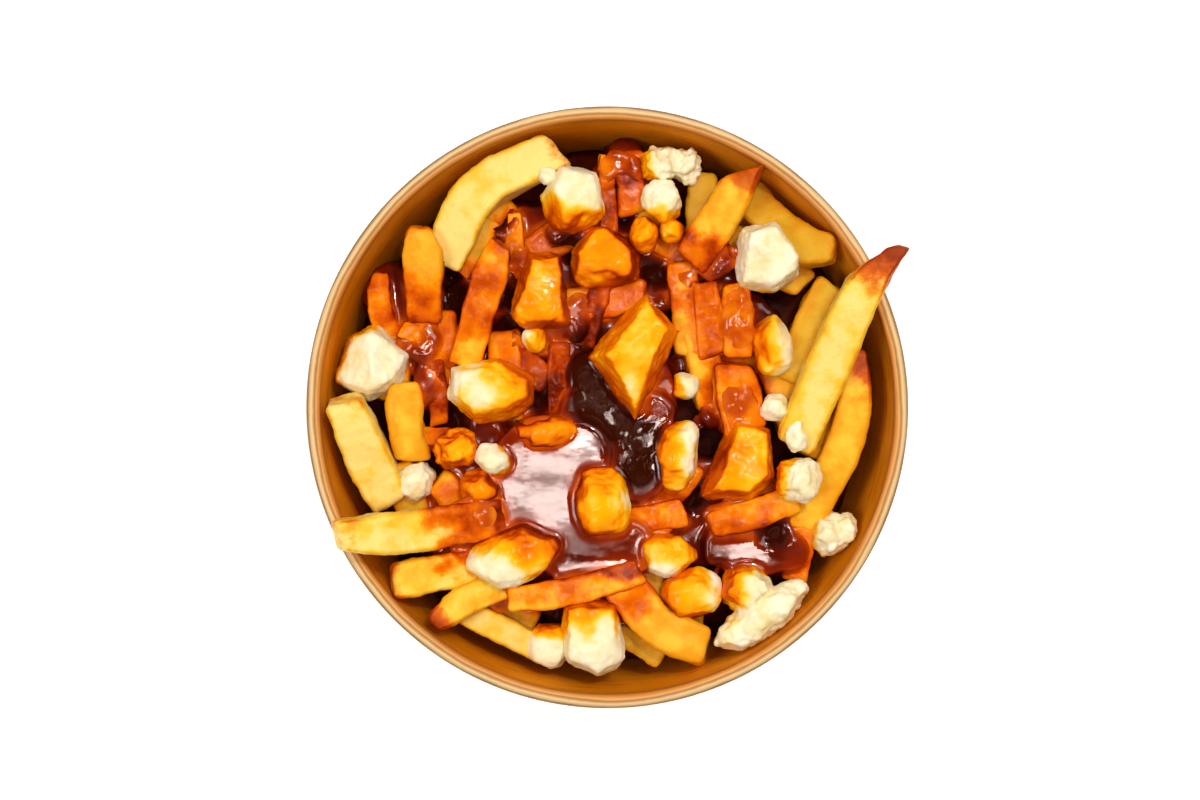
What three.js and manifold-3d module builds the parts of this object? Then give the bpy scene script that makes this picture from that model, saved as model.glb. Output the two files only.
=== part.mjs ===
// A dish of poutine: a round kraft paper bowl heaped with fries, cheese curds and brown gravy.
// Millimetres, +Z up. The origin is the middle of the bowl's foot, on the table.
// +X is to the right and +Y is up as the dish is seen from straight above.
import * as THREE from 'three';
import { mergeVertices } from 'three/addons/utils/BufferGeometryUtils.js';
import Module from 'manifold-3d';

const wasm = await Module();
wasm.setup();

// Driving dimensions of the bowl
const RIM_DIAMETER = 150;
const BOWL_HEIGHT = 60;
const FOOT_DIAMETER = 128;
const PAPER = 0.8;
const SKIRT_PAPER = 2.0;
const LIP_ROLL = 3.4;
const BASE_UNDERSIDE = 5;
const BOWL_SIDES = 48;
const ROLL_STEPS = 6;

// Driving dimensions of the food's core, a dome that ends short of the wall
const CORE_EDGE = 36;
const CORE_CROWN = 43;
const CORE_SHOULDER = 41;
const CORE_SHOULDER_SHARE = 0.55;
const CORE_EDGE_SHARE = 0.93;
const CORE_SIDES = 24;
const CORE_FOOT_INSET = 4;
const CORE_FOOT_RISE = 5;
const CORE_EDGE_DROP = 4;

// Room between neighbouring pieces, and the smallest edge that is kept
const GAP = 0.3;
const ROOM_EDGE = 0.3;
const SMALLEST_EDGE = 0.14;

// The form of a fry, as shares of its width and length
const FRY_CORNER = 0.3;
const FRY_END_BEVEL = 0.22;
const FRY_FLATNESS = 0.92;
const FRY_TIP = 0.86;
const FRY_END = 0.3;
const FRY_TAPER_RATE = 2.2;
const FRY_SWELL = 0.05;
const FRY_SWELL_WAVES = 9;
const FRY_SWELL_SHIFT = 5;
const BEND_REACH = 0.1;

// The form of a curd: how full its corners are, and where its seeded tears lie
const CURD_FULLNESS = 2.6;
const SMALL_CURD = 15;
const USUAL_TEARS = 5;
const TEAR_SPREAD = 0.6;
const TEAR_LIFT = [-15, 70];
const TEAR_REACH = [0.78, 0.16];

// The fries below the ones that show: rings of [radius, how many, height of the middle line]
const LOWER_RINGS = [[8, 2, 46], [27, 5, 45.5], [45, 7, 43.5], [56, 9, 42]];
const LOWER_LENGTH = 24;
const LOWER_WIDTH = 9.2;
const LOWER_SPREAD = 0.35;
const LOWER_TURN = 0.7;
const LOWER_REACH = [0.42, 0.1];
const LOWER_LEAN = 3;
const HIDDEN_BY_POOL = 0.7;

// The side of a pool of gravy
const POOL_SIDES = 8;
const POOL_FOOT_SHARE = 0.8;
const POOL_SHOULDER = 1.4;
const POOL_EDGE = 0.9;

const LIP_RADIUS = LIP_ROLL / 2;
const LIP_CENTRE_R = RIM_DIAMETER / 2 - LIP_RADIUS;
const LIP_CENTRE_Z = BOWL_HEIGHT - LIP_RADIUS;
const FOOT_RADIUS = FOOT_DIAMETER / 2;
const BASE_TOP = BASE_UNDERSIDE + PAPER;
const WALL_TOP_R = LIP_CENTRE_R - LIP_RADIUS * 0.55;
const WALL_TOP_Z = LIP_CENTRE_Z - LIP_RADIUS * 0.6;
const RADIANS = Math.PI / 180;

// The inner face of the tapered wall at a height
function wallRadius(z) {
  const low = FOOT_RADIUS - PAPER;
  return low + ((WALL_TOP_R - low) * z) / WALL_TOP_Z;
}

// Small repeatable random numbers, the same on every run
function seeded(seed) {
  let state = seed * 7919 + 17;
  return () => {
    state = (state * 16807) % 2147483647;
    return state / 2147483647;
  };
}

// Solids for joining and cutting, and back to a mesh
function toSolid(geometry) {
  const bare = geometry.clone();
  bare.deleteAttribute('normal');
  bare.deleteAttribute('uv');
  const merged = mergeVertices(bare, 1e-4);
  return new wasm.Manifold(new wasm.Mesh({
    numProp: 3,
    vertProperties: new Float32Array(merged.attributes.position.array),
    triVerts: new Uint32Array(merged.index.array),
  }));
}

function toGeometry(solid) {
  const mesh = solid.getMesh();
  const geometry = new THREE.BufferGeometry();
  geometry.setAttribute('position', new THREE.BufferAttribute(mesh.vertProperties, 3));
  geometry.setIndex(new THREE.BufferAttribute(mesh.triVerts, 1));
  geometry.computeVertexNormals();
  return geometry;
}

function joined(solids) {
  return solids.reduce((whole, next) => whole.add(next));
}

// A cut can leave a scrap, so only the largest body stays, with its tiny edges closed up
function largestBody(solid) {
  const bodies = solid.simplify(SMALLEST_EDGE).decompose();
  bodies.sort((one, other) => other.volume() - one.volume());
  return bodies[0];
}

// The paper bowl: foot skirt, raised base, tapered wall and rolled lip, in one turned shape
function bowlProfile(grow) {
  const outer = [];
  outer.push([0, BASE_UNDERSIDE - grow]);
  outer.push([FOOT_RADIUS - SKIRT_PAPER - 0.3 - grow, BASE_UNDERSIDE - grow]);
  outer.push([FOOT_RADIUS - SKIRT_PAPER - grow, -grow]);
  outer.push([FOOT_RADIUS + grow, -grow]);
  outer.push([WALL_TOP_R + PAPER + grow, WALL_TOP_Z - PAPER]);
  for (let step = 0; step <= ROLL_STEPS; step += 1) {
    const angle = (-90 + (step * 270) / ROLL_STEPS) * RADIANS;
    const radius = LIP_RADIUS + grow;
    outer.push([LIP_CENTRE_R + radius * Math.cos(angle), LIP_CENTRE_Z + radius * Math.sin(angle)]);
  }
  const middle = (WALL_TOP_Z + BASE_TOP) / 2;
  outer.push([wallRadius(middle) - grow, middle]);
  outer.push([wallRadius(BASE_TOP + 2) - grow, BASE_TOP + 2 + grow]);
  outer.push([wallRadius(BASE_TOP) - 1.5 - grow, BASE_TOP + grow]);
  outer.push([0, BASE_TOP + grow]);
  return outer.map(([radius, height]) => new THREE.Vector2(radius, height));
}

function bowlGeometry(grow = 0) {
  return new THREE.LatheGeometry(bowlProfile(grow), BOWL_SIDES);
}

// What lies unseen under the top fries: one low dome that follows the wall
function coreSolid(grow = 0) {
  const clear = 2 * GAP - grow;
  const profile = [
    new THREE.Vector2(0, BASE_TOP + clear),
    new THREE.Vector2(wallRadius(BASE_TOP) - CORE_FOOT_INSET, BASE_TOP + clear),
    new THREE.Vector2(wallRadius(BASE_TOP + CORE_FOOT_RISE) - 2 * clear, BASE_TOP + CORE_FOOT_RISE),
    new THREE.Vector2(wallRadius(CORE_EDGE - CORE_EDGE_DROP) - 2 * clear, CORE_EDGE - CORE_EDGE_DROP + grow),
    new THREE.Vector2(wallRadius(CORE_EDGE) * CORE_EDGE_SHARE, CORE_EDGE + grow),
    new THREE.Vector2(wallRadius(CORE_EDGE) * CORE_SHOULDER_SHARE, CORE_SHOULDER + grow),
    new THREE.Vector2(0, CORE_CROWN + grow),
  ];
  return toSolid(new THREE.LatheGeometry(profile, CORE_SIDES));
}

// The line of a fry: one straight run up to where it bends, and one from there to its end.
// Its faces are shared out half and half, so the bend is always halfway along them.
function fryLine({ from, mid, to }) {
  const start = new THREE.Vector3(...from);
  const end = new THREE.Vector3(...to);
  const bend = mid ? new THREE.Vector3(...mid) : start.clone().lerp(end, 0.5);
  const first = bend.clone().sub(start).normalize();
  const second = end.clone().sub(bend).normalize();
  return {
    length: start.distanceTo(bend) + bend.distanceTo(end),
    pointAt: (at) => (at < 0.5 ? start.clone().lerp(bend, 2 * at) : bend.clone().lerp(end, 2 * at - 1)),
    headingAt: (at) => {
      const share = THREE.MathUtils.smoothstep(at, 0.5 - BEND_REACH, 0.5 + BEND_REACH);
      return first.clone().lerp(second, share).normalize();
    },
  };
}

// One fry: a square stick with soft corners and blunt ends, laid along its line.
// tip is how much of its width is left where it starts, and slant how far that end is cut askew.
function fryGeometry(fry, grow = 0) {
  const { width, thick = width * FRY_FLATNESS, tip = FRY_TIP, slant = 0, plain = false } = fry;
  const steps = fry.mid ? 2 : 1;
  const line = fryLine(fry);
  const { length } = line;
  const corner = 1 - FRY_CORNER;
  const soft = [[1, -corner], [1, corner], [corner, 1], [-corner, 1], [-1, corner], [-1, -corner],
    [-corner, -1], [corner, -1]];
  const square = [[1, -1], [1, 1], [-1, 1], [-1, -1]];
  const section = new THREE.Shape((plain ? square : soft).map(([x, y]) => new THREE.Vector2(x, y)));
  const bevel = FRY_END_BEVEL * width;
  const geometry = new THREE.ExtrudeGeometry(section, {
    depth: length - 2 * bevel,
    steps,
    bevelEnabled: !plain,
    bevelSegments: 1,
    bevelThickness: bevel,
    bevelSize: FRY_END_BEVEL,
    bevelOffset: -FRY_END_BEVEL,
  });
  const place = geometry.attributes.position;
  const up = new THREE.Vector3(0, 0, 1);
  for (let index = 0; index < place.count; index += 1) {
    const along = plain ? place.getZ(index) / (length - 2 * bevel) : (place.getZ(index) + bevel) / length;
    const at = THREE.MathUtils.clamp(along, 0, 1);
    const tangent = line.headingAt(at);
    const side = new THREE.Vector3().crossVectors(up, tangent).normalize();
    const over = new THREE.Vector3().crossVectors(tangent, side);
    const taper = tip + (1 - tip) * Math.min(1, at * FRY_TAPER_RATE);
    const swell = 1 + FRY_SWELL * Math.sin(at * FRY_SWELL_WAVES + width * FRY_SWELL_SHIFT);
    const across = (place.getX(index) * width * taper * swell) / 2 + grow * place.getX(index);
    const above = (place.getY(index) * thick * taper * swell) / 2 + grow * place.getY(index);
    const askew = at < FRY_END ? (slant * place.getX(index) * width) / 2 : 0;
    const pushed = at < 0.5 ? askew - grow : grow;
    const point = line.pointAt(at).addScaledVector(tangent, pushed);
    point.addScaledVector(side, across).addScaledVector(over, above);
    place.setXYZ(index, point.x, point.y, point.z);
  }
  return geometry;
}

// One lump of curd: a full rounded body with seeded tears and set flats.
// Each flat is [direction in plan, tilt up from level, distance from the middle].
function lumpSolid({ at, size, turn = 0, flats = [], torn = USUAL_TEARS, seed = 1 }, grow = 0) {
  const ball = new THREE.IcosahedronGeometry(1, Math.max(...size) < SMALL_CURD ? 0 : 1);
  const place = ball.attributes.position;
  const [length, width, height] = size.map((full) => full / 2 + grow);
  for (let index = 0; index < place.count; index += 1) {
    const x = place.getX(index);
    const y = place.getY(index);
    const z = place.getZ(index);
    const full = (Math.abs(x) ** CURD_FULLNESS + Math.abs(y) ** CURD_FULLNESS
      + Math.abs(z) ** CURD_FULLNESS) ** (-1 / CURD_FULLNESS);
    place.setXYZ(index, x * full * length, y * full * width, z * full * height);
  }
  let solid = toSolid(ball);
  const random = seeded(seed);
  for (let index = 0; index < torn; index += 1) {
    const around = (index + random() * TEAR_SPREAD) * (360 / torn) * RADIANS;
    const lift = (TEAR_LIFT[0] + random() * TEAR_LIFT[1]) * RADIANS;
    const share = TEAR_REACH[0] + TEAR_REACH[1] * random();
    const normal = [Math.cos(around) * Math.cos(lift), Math.sin(around) * Math.cos(lift), Math.sin(lift)];
    const reach = Math.hypot(normal[0] * length, normal[1] * width, normal[2] * height);
    solid = solid.trimByPlane(normal.map((part) => -part), -reach * share);
  }
  for (const [around, lift, reach] of flats) {
    const turned = (around - turn) * RADIANS;
    const tilt = lift * RADIANS;
    const normal = [Math.cos(turned) * Math.cos(tilt), Math.sin(turned) * Math.cos(tilt), Math.sin(tilt)];
    solid = solid.trimByPlane(normal.map((part) => -part), -(reach + grow));
  }
  return solid.rotate([0, 0, turn]).translate(at);
}

// A curd is one lump, or several torn from the same piece
function curdSolid(curd, grow = 0) {
  const lumps = [curd, ...(curd.more ?? [])];
  return joined(lumps.map((lump) => lumpSolid(lump, grow)));
}

// The room that a curd needs in what it lies on: a little larger and with fewer faces
function curdRoom(curd) {
  return curdSolid(curd, GAP + ROOM_EDGE).simplify(ROOM_EDGE);
}

// The fries that show, from the back of the bowl round to the front
const FRIES = [
  { from: [-11.9, 65.2, 49.5], mid: [-33.8, 55.2, 49], to: [-42, 37, 45], width: 11.6 },
  { from: [-47.5, 46, 51], mid: [-46.5, 36, 50], to: [-46.5, 22, 45], width: 10, tip: 0.6 },
  { from: [-57.5, 34.5, 47], mid: [-58.5, 27, 46], to: [-56, 17, 43], width: 6.4, tip: 0.6 },
  { from: [-27, 41.5, 54.5], mid: [-31, 28, 52], to: [-36.5, 10.5, 47.5], width: 8.8, tip: 0.6 },
  { from: [-23.8, 49.5, 48], to: [-23.4, 34, 47], width: 4.8, tip: 0.7 },
  { from: [-29, 48, 45.5], to: [-38, 34.5, 44.5], width: 6.4 },
  { from: [-0.3, 64.5, 48], to: [0.4, 44, 47], width: 4.4 },
  { from: [5.2, 65.5, 46], to: [6.5, 49, 46], width: 8 },
  { from: [34.6, 59.2, 57], mid: [29.8, 49.5, 54.5], to: [21.5, 37, 49], width: 9.6, slant: -0.7 },
  { from: [24.5, 60, 45.5], to: [24, 44, 45.5], width: 8 },
  { from: [57.6, 39.6, 54], mid: [47.4, 41.2, 49.5], to: [36, 53.5, 43.5], width: 10, tip: 0.7 },
  { from: [72.4, 39, 68.4], mid: [64.4, 33, 64.8], to: [47.5, -9, 49], width: 10.6, tip: 0.2 },
  { from: [57, 31.5, 49.5], to: [45.5, 7, 45], width: 9 },
  { from: [63.2, 14.5, 54], mid: [61.2, -8, 51], to: [49.8, -31.5, 44.5], width: 9.2, tip: 0.4 },
  { from: [57.5, 4, 45.5], to: [51.5, -13, 45], width: 6 },
  { from: [-66.2, 2.2, 55], mid: [-62, -9.5, 50.5], to: [-55.5, -24, 45], width: 11.2 },
  { from: [-51.3, 6.5, 48], mid: [-51.5, -4.5, 47.5], to: [-49.5, -13, 45], width: 9.6, tip: 0.7 },
  { from: [-66.4, -31.4, 65.6], mid: [-49, -31.2, 58], to: [-27, -28, 48.5], width: 10.4, tip: 0.75 },
  { from: [-54.2, -43.9, 53.5], to: [-33, -40.5, 48.5], width: 9.8 },
  { from: [-43.4, -54.6, 55.8], mid: [-36.5, -49, 53], to: [-26, -45, 48], width: 7.6, tip: 0.6 },
  { from: [-37.5, -51.5, 47.5], mid: [-27, -56.6, 47.5], to: [-15.5, -62.5, 46.5], width: 7.2 },
  { from: [-25, -48.8, 51.5], mid: [-9.4, -47, 51], to: [8.5, -41.5, 49.5], width: 7.2 },
  { from: [25.4, -61.3, 50], mid: [12.2, -56, 48.5], to: [3.4, -44.5, 46.5], width: 11.2, tip: 0.85 },
  { from: [2, -57, 45], to: [14, -64.5, 45.5], width: 5.6 },
  { from: [24.7, 32, 48.5], to: [27, 13, 48], width: 7.2 },
  { from: [33, 31.5, 50], to: [33.2, 12.5, 49], width: 7.4 },
  { from: [31.8, 11, 49.5], to: [35.4, -6.5, 48.5], width: 11.4, thick: 8.5 },
  { from: [18.4, 37, 48], to: [21.4, 13, 47], width: 7.4 },
  { from: [26, -29.6, 48.5], mid: [36.8, -27.2, 49.5], to: [48, -23, 48.5], width: 7.8 },
  { from: [5.5, -29, 48], to: [20, -26.6, 48], width: 7.2 },
  { from: [-12, 16.5, 47.5], to: [-12.6, -4, 46], width: 6 },
  { from: [-25.5, 17.5, 47], to: [-15, 5.5, 46], width: 6.6 },
  { from: [-44, 12.5, 46.5], to: [-43, -4.5, 44], width: 5.4 },
  { from: [-48.5, -7.4, 45.5], to: [-37, -8, 45.5], width: 5 },
  { from: [-1.4, 31.5, 48], to: [-6, 15.5, 47], width: 5.6 },
  { from: [-52.8, 20, 48], to: [-43, 16.5, 46], width: 5.4 },
  { from: [50.2, -30, 46.5], to: [48, -44.5, 45], width: 7.2 },
  { from: [35.5, -35, 46.5], to: [44.5, -28.5, 46.5], width: 5.4 },
];

// Gravy stands in the hollows between the fries, level on top. Each pool is a few joined
// rounds given as [x, y, radius].
const POOLS = {
  gravy_pool: {
    level: 52.4, depth: 4.4,
    rounds: [[-16, -15, 13], [-22, -26, 12], [-9, -33, 11], [4, -36, 8], [-32, -33, 8], [-8, -12, 9]],
  },
  gravy_pool_centre: {
    level: 50.8, depth: 3.6,
    rounds: [[-3, -1, 9], [4, -7, 9], [11, -3, 7], [8, -17, 7], [-4, 8, 6]],
  },
  gravy_pool_right: {
    level: 50, depth: 4,
    rounds: [[32, -36, 7.5], [40, -35.5, 7.5], [46, -37, 5]],
  },
};

// Whether a place in plan is well inside a pool, which hides what lies there
function inPool(x, y) {
  const rounds = Object.values(POOLS).flatMap((pool) => pool.rounds);
  return rounds.some(([px, py, radius]) => Math.hypot(x - px, y - py) < radius * HIDDEN_BY_POOL);
}

// The fries that lie under the ones that show and carry them, each ring in seeded directions
function lowerFries() {
  const random = seeded(4);
  const oneFry = ([radius, count, height], index) => {
    const around = ((index + LOWER_SPREAD * random()) / count) * 2 * Math.PI;
    const heading = around + Math.PI / 2 + (random() - 0.5) * LOWER_TURN;
    const reach = LOWER_LENGTH * (LOWER_REACH[0] + LOWER_REACH[1] * random());
    const [x, y] = [radius * Math.cos(around), radius * Math.sin(around)];
    const [dx, dy] = [reach * Math.cos(heading), reach * Math.sin(heading)];
    const lean = (random() - 0.5) * LOWER_LEAN;
    const [from, to] = [[x - dx, y - dy, height - lean], [x + dx, y + dy, height + lean]];
    return inPool(x, y) ? [] : { from, to, width: LOWER_WIDTH, plain: true };
  };
  return LOWER_RINGS.flatMap((ring) => {
    const places = Array.from({ length: ring[1] });
    return places.flatMap((_, index) => oneFry(ring, index));
  });
}

// The curds, each one its own piece. size is length, width and height.
const CURDS = {
  back_left: {
    at: [-8.8, 52.6, 53.9], size: [17, 18, 13], torn: 4, seed: 3,
    flats: [[78, 10, 7.6], [10, 5, 7.4], [-60, 20, 7.4], [200, 25, 6.4], [150, 15, 6.8]],
  },
  back_left_crumb: { at: [-14.9, 58, 54.8], size: [5.4, 4.6, 4], seed: 5 },
  back_torn: {
    at: [13.5, 61.2, 50.5], size: [9.5, 9.5, 8.5], seed: 7,
    more: [{ at: [19.8, 61.6, 50], size: [7.5, 8.5, 7], seed: 8 }],
  },
  back_middle: { at: [14, 52, 52.2], size: [10.4, 12, 9], seed: 9 },
  back_glazed_left: { at: [9.5, 43.6, 51.5], size: [7.4, 9.8, 8], seed: 11, torn: 3 },
  back_glazed_right: { at: [16.4, 44.6, 51], size: [6.4, 6.8, 6.5], seed: 12, torn: 3 },
  back_right: {
    at: [40.8, 37.7, 55], size: [19, 19, 13], torn: 0,
    flats: [[101, 12, 8.1], [38, 10, 6.3], [-12, 8, 7.8], [-56, 8, 7.6], [-98, 12, 8], [178, 14, 7.2],
      [60, 72, 5.6], [230, 70, 5.2]],
  },
  left_big: {
    at: [-59.6, 11.2, 50.5], size: [19, 20, 14], torn: 0,
    flats: [[160, 14, 7.2], [118, 12, 8.4], [48, 10, 7.6], [-20, 8, 8], [-62, 10, 7.8], [-120, 14, 8.4],
      [20, 62, 6], [170, 60, 5.2]],
  },
  centre_left: {
    at: [-30, 4.3, 53], size: [24, 17, 13], torn: 3, seed: 15,
    flats: [[172, 10, 9.6], [104, 14, 7], [60, 14, 8], [-6, 8, 11], [-80, 16, 7.2], [-135, 12, 8.2],
      [90, 75, 5.4]],
  },
  upper_left: {
    at: [-16.5, 29.4, 53.5], size: [18, 21, 10], torn: 0,
    flats: [[90, 12, 9], [7, 8, 5.7], [162, 14, 5.6], [-86, 14, 9.1], [40, 74, 4.2]],
  },
  upper_middle: {
    at: [-0.4, 37.6, 52.5], size: [20, 16, 11], torn: 2, seed: 19,
    flats: [[140, 12, 7.2], [52, 12, 6.4], [0, 14, 8], [-82, 12, 6.6], [180, 8, 8.2], [90, 72, 4.4]],
  },
  centre_big: {
    at: [7.4, 13.1, 55.5], size: [30, 34, 14], torn: 0,
    flats: [[137, 14, 7.8], [41, 10, 11.4], [-25, 16, 5.6], [217, 18, 8.6], [100, 66, 7], [-60, 70, 5.6],
      [20, 78, 5.8]],
  },
  centre_crumb: { at: [-18.4, 17.6, 50.5], size: [6.4, 7.8, 6.4], seed: 21 },
  pool_top: {
    at: [-14.5, -6.6, 51], size: [17, 7.8, 7.6], turn: 8, seed: 22, torn: 3,
    more: [{ at: [-20.6, -6.6, 50.6], size: [8, 6, 6.4], seed: 23, torn: 3 }],
  },
  pool_left: { at: [-38.2, -10.6, 51.5], size: [11.4, 10, 8.6], turn: 30, seed: 25 },
  pool_left_white: { at: [-28.6, -13.2, 53], size: [9.8, 7.6, 7.6], turn: -20, seed: 26 },
  pool_left_glazed: { at: [-32, -20, 51], size: [10.8, 10, 9], turn: 10, seed: 27, torn: 4 },
  left_small: { at: [-49, -19.2, 47.5], size: [12.6, 9, 8], turn: 25, seed: 28 },
  front_left: { at: [-23.7, -37.7, 54], size: [24.6, 14.4, 11.5], turn: 20, seed: 31, torn: 4 },
  pool_right: { at: [-1.3, -24.1, 53], size: [14, 18.6, 11.5], turn: 12, seed: 32, torn: 3 },
  centre_right_crumb: { at: [19.8, 5.6, 49.5], size: [7.8, 6.8, 6.4], seed: 33 },
  centre_right: { at: [17.8, -12, 53], size: [10.8, 18.4, 10.5], turn: -12, seed: 34, torn: 4 },
  right_big: {
    at: [32.9, -13.8, 54.5], size: [24, 24, 12.5], torn: 0,
    flats: [[156, 14, 4.6], [75, 10, 9.8], [5, 10, 8.4], [-45, 12, 8.8], [-92, 14, 8.8], [60, 74, 5]],
  },
  right_upper: { at: [42.2, 0, 53], size: [7.4, 7.6, 7], seed: 36 },
  right_on_fry: { at: [47.4, -7.6, 56.4], size: [5, 8, 5], seed: 37, torn: 4 },
  right_lower: { at: [48.4, -18.2, 54.6], size: [11.4, 11.6, 9.5], seed: 38 },
  right_half_glazed: { at: [41.6, 15.6, 52.5], size: [9.8, 16, 9.5], turn: 6, seed: 39, torn: 4 },
  right_edge: {
    at: [56.4, -32.3, 50.5], size: [8.6, 11.4, 9], seed: 41,
    more: [{ at: [60.2, -31.2, 50.8], size: [6.4, 9.4, 7.5], seed: 42 }],
  },
  front_right: {
    at: [39.4, -52.9, 52.5], size: [28, 9.6, 11], turn: 34, seed: 44, torn: 4,
    more: [{ at: [35, -46, 52.5], size: [14, 12, 11], seed: 45 }],
  },
  front_small: { at: [15.4, -37.4, 51.5], size: [14.4, 12, 9.5], turn: 15, seed: 46 },
  front_glazed: { at: [21.5, -47, 52], size: [15.5, 12.8, 10], turn: 10, seed: 47, torn: 4 },
  front_middle: {
    at: [-3.8, -57.6, 53], size: [18, 21, 12], torn: 2, seed: 48,
    flats: [[84, 14, 8.2], [12, 8, 7.2], [-66, 10, 9.8], [-112, 10, 8.8], [176, 12, 7.2], [90, 74, 5]],
  },
  front_shaded: { at: [-14.2, -60.6, 48.5], size: [12.6, 12.4, 10], seed: 50 },
};

function poolSolid({ level, depth, rounds }, grow = 0) {
  const solids = rounds.map(([x, y, size]) => {
    const radius = size + grow;
    const floor = -depth - grow;
    const foot = [radius * POOL_FOOT_SHARE, floor];
    const shoulder = [radius, -POOL_SHOULDER];
    const side = [[0, floor], foot, shoulder, [radius - POOL_EDGE, grow], [0, grow]];
    const turned = new THREE.LatheGeometry(side.map(([r, z]) => new THREE.Vector2(r, z)), POOL_SIDES);
    turned.rotateX(Math.PI / 2);
    turned.translate(x, y, level);
    return toSolid(turned);
  });
  return joined(solids);
}

// Where the lathe turns round +Y in three.js, the bowl and core are tipped to stand on +Z
function upright(geometry) {
  return geometry.rotateX(Math.PI / 2);
}

const MATERIALS = {
  kraft: new THREE.MeshStandardMaterial({ color: 0xc98a3a, roughness: 0.6, metalness: 0 }),
  fry: new THREE.MeshStandardMaterial({ color: 0xf2b92e, roughness: 0.5, metalness: 0 }),
  curd: new THREE.MeshStandardMaterial({ color: 0xfbf3d2, roughness: 0.55, metalness: 0 }),
  gravy: new THREE.MeshStandardMaterial({ color: 0x7a2405, roughness: 0.12, metalness: 0 }),
};

function named(name, geometry, material) {
  const mesh = new THREE.Mesh(geometry, material);
  mesh.name = name;
  return mesh;
}

const poutine = new THREE.Group();
poutine.add(named('bowl', upright(bowlGeometry()), MATERIALS.kraft));

const bowlRoom = toSolid(upright(bowlGeometry(GAP)));
const curdNames = Object.keys(CURDS);

// Each curd keeps clear of those listed before it
const curdSolids = {};
let taken = null;
for (const name of curdNames) {
  let solid = curdSolid(CURDS[name]);
  if (taken) {
    solid = solid.subtract(taken);
  }
  curdSolids[name] = largestBody(solid.subtract(bowlRoom));
  const room = curdRoom(CURDS[name]);
  taken = taken ? taken.add(room) : room;
}

const core = (grow) => coreSolid(grow).rotate([90, 0, 0]);
const allFries = [...FRIES, ...lowerFries()];
const heap = (grow) => joined([core(grow), ...allFries.map((fry) => toSolid(fryGeometry(fry, grow)))]);
const fries = largestBody(heap(0).subtract(taken).subtract(bowlRoom));
poutine.add(named('fries', toGeometry(fries), MATERIALS.fry));

for (const name of curdNames) {
  poutine.add(named(`curd_${name}`, toGeometry(curdSolids[name]), MATERIALS.curd));
}

let wet = heap(GAP).add(taken).add(bowlRoom);
for (const [name, pool] of Object.entries(POOLS)) {
  const solid = largestBody(poolSolid(pool).subtract(wet));
  poutine.add(named(name, toGeometry(solid), MATERIALS.gravy));
  wet = wet.add(poolSolid(pool, GAP));
}

export default poutine;
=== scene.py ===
"""A dish of poutine: fries, cheese curds and gravy heaped in a round kraft paper bowl.

Laid out as a Blender add-on and run as a script. Metres, +Z up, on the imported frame.
"""

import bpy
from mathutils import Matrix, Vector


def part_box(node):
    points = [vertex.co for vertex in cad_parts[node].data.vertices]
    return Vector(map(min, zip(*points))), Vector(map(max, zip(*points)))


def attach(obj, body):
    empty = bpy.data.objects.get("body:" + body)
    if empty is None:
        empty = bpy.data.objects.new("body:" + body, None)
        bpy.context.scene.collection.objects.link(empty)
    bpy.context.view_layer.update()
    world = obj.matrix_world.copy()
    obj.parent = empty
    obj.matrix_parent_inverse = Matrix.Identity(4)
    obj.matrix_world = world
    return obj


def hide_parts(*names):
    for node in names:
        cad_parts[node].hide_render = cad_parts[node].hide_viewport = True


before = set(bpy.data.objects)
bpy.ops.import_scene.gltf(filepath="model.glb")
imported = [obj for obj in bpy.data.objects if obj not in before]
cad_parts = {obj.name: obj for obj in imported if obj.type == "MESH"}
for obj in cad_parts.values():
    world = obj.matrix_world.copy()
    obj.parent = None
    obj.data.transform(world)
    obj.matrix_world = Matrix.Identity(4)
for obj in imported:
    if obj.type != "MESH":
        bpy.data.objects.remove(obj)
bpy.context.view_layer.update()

import math

import bpy
import numpy as np
from mathutils import Vector, noise
from mathutils.bvhtree import BVHTree

bl_info = {
    "name": "Dish of poutine",
    "version": (1, 0, 0),
    "blender": (4, 5, 0),
    "location": "View3D > Sidebar > Poutine",
    "description": "Builds a paper bowl of fries, cheese curds and gravy",
    "category": "Add Mesh",
}

MM = 0.001

# The bowl, read from the frame, and the sizes of its paper
BOWL_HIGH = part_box("bowl")[1]
RIM_RADIUS = BOWL_HIGH.x
BOWL_HEIGHT = BOWL_HIGH.z
FOOT_RADIUS = 64 * MM
PAPER = 0.8 * MM
LIP_RADIUS = 1.7 * MM
LIP_CENTRE_R = RIM_RADIUS - LIP_RADIUS
LIP_CENTRE_Z = BOWL_HEIGHT - LIP_RADIUS
BASE_UNDERSIDE = 5 * MM
BASE_TOP = BASE_UNDERSIDE + PAPER
SKIRT_PAPER = 2 * MM
SKIRT_EDGE = 0.4 * MM
WALL_TOP_R = LIP_CENTRE_R - LIP_RADIUS * 0.55
WALL_TOP_Z = LIP_CENTRE_Z - LIP_RADIUS * 0.6
WALL_GAP = 0.25 * MM
FAR_OUT = 1

# The heap: the core, and the rings of plainer fries on it as (radius, count, height) in mm
CORE_EDGE = 36 * MM
CORE_CROWN = 43 * MM
CORE_GAP = 1 * MM
LOWER_RINGS = [(8, 2, 46), (27, 5, 45.5), (45, 7, 43.5), (56, 9, 42)]
LOWER_LENGTH = 24
LOWER_WIDTH = 9.2

# The straight stick that each fry is bent from, in half widths, and shares of a fry's length
STICK_HALF = 4
STICK_BEVEL = 0.38
BEND_LENGTH = 0.34
TIP_LENGTH = 0.26
SMALL_TURN = math.radians(10)
TWIST = math.radians(16)


def fry(width, *points, **looks):
    """A fry's width, the two or three points that it runs through in mm, and how it looks."""
    return dict(width=width, points=points, **looks)


def curd(at, size, **looks):
    """A curd's middle and size in mm, and how it is torn and coated."""
    return dict(at=at, size=size, **looks)


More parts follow.
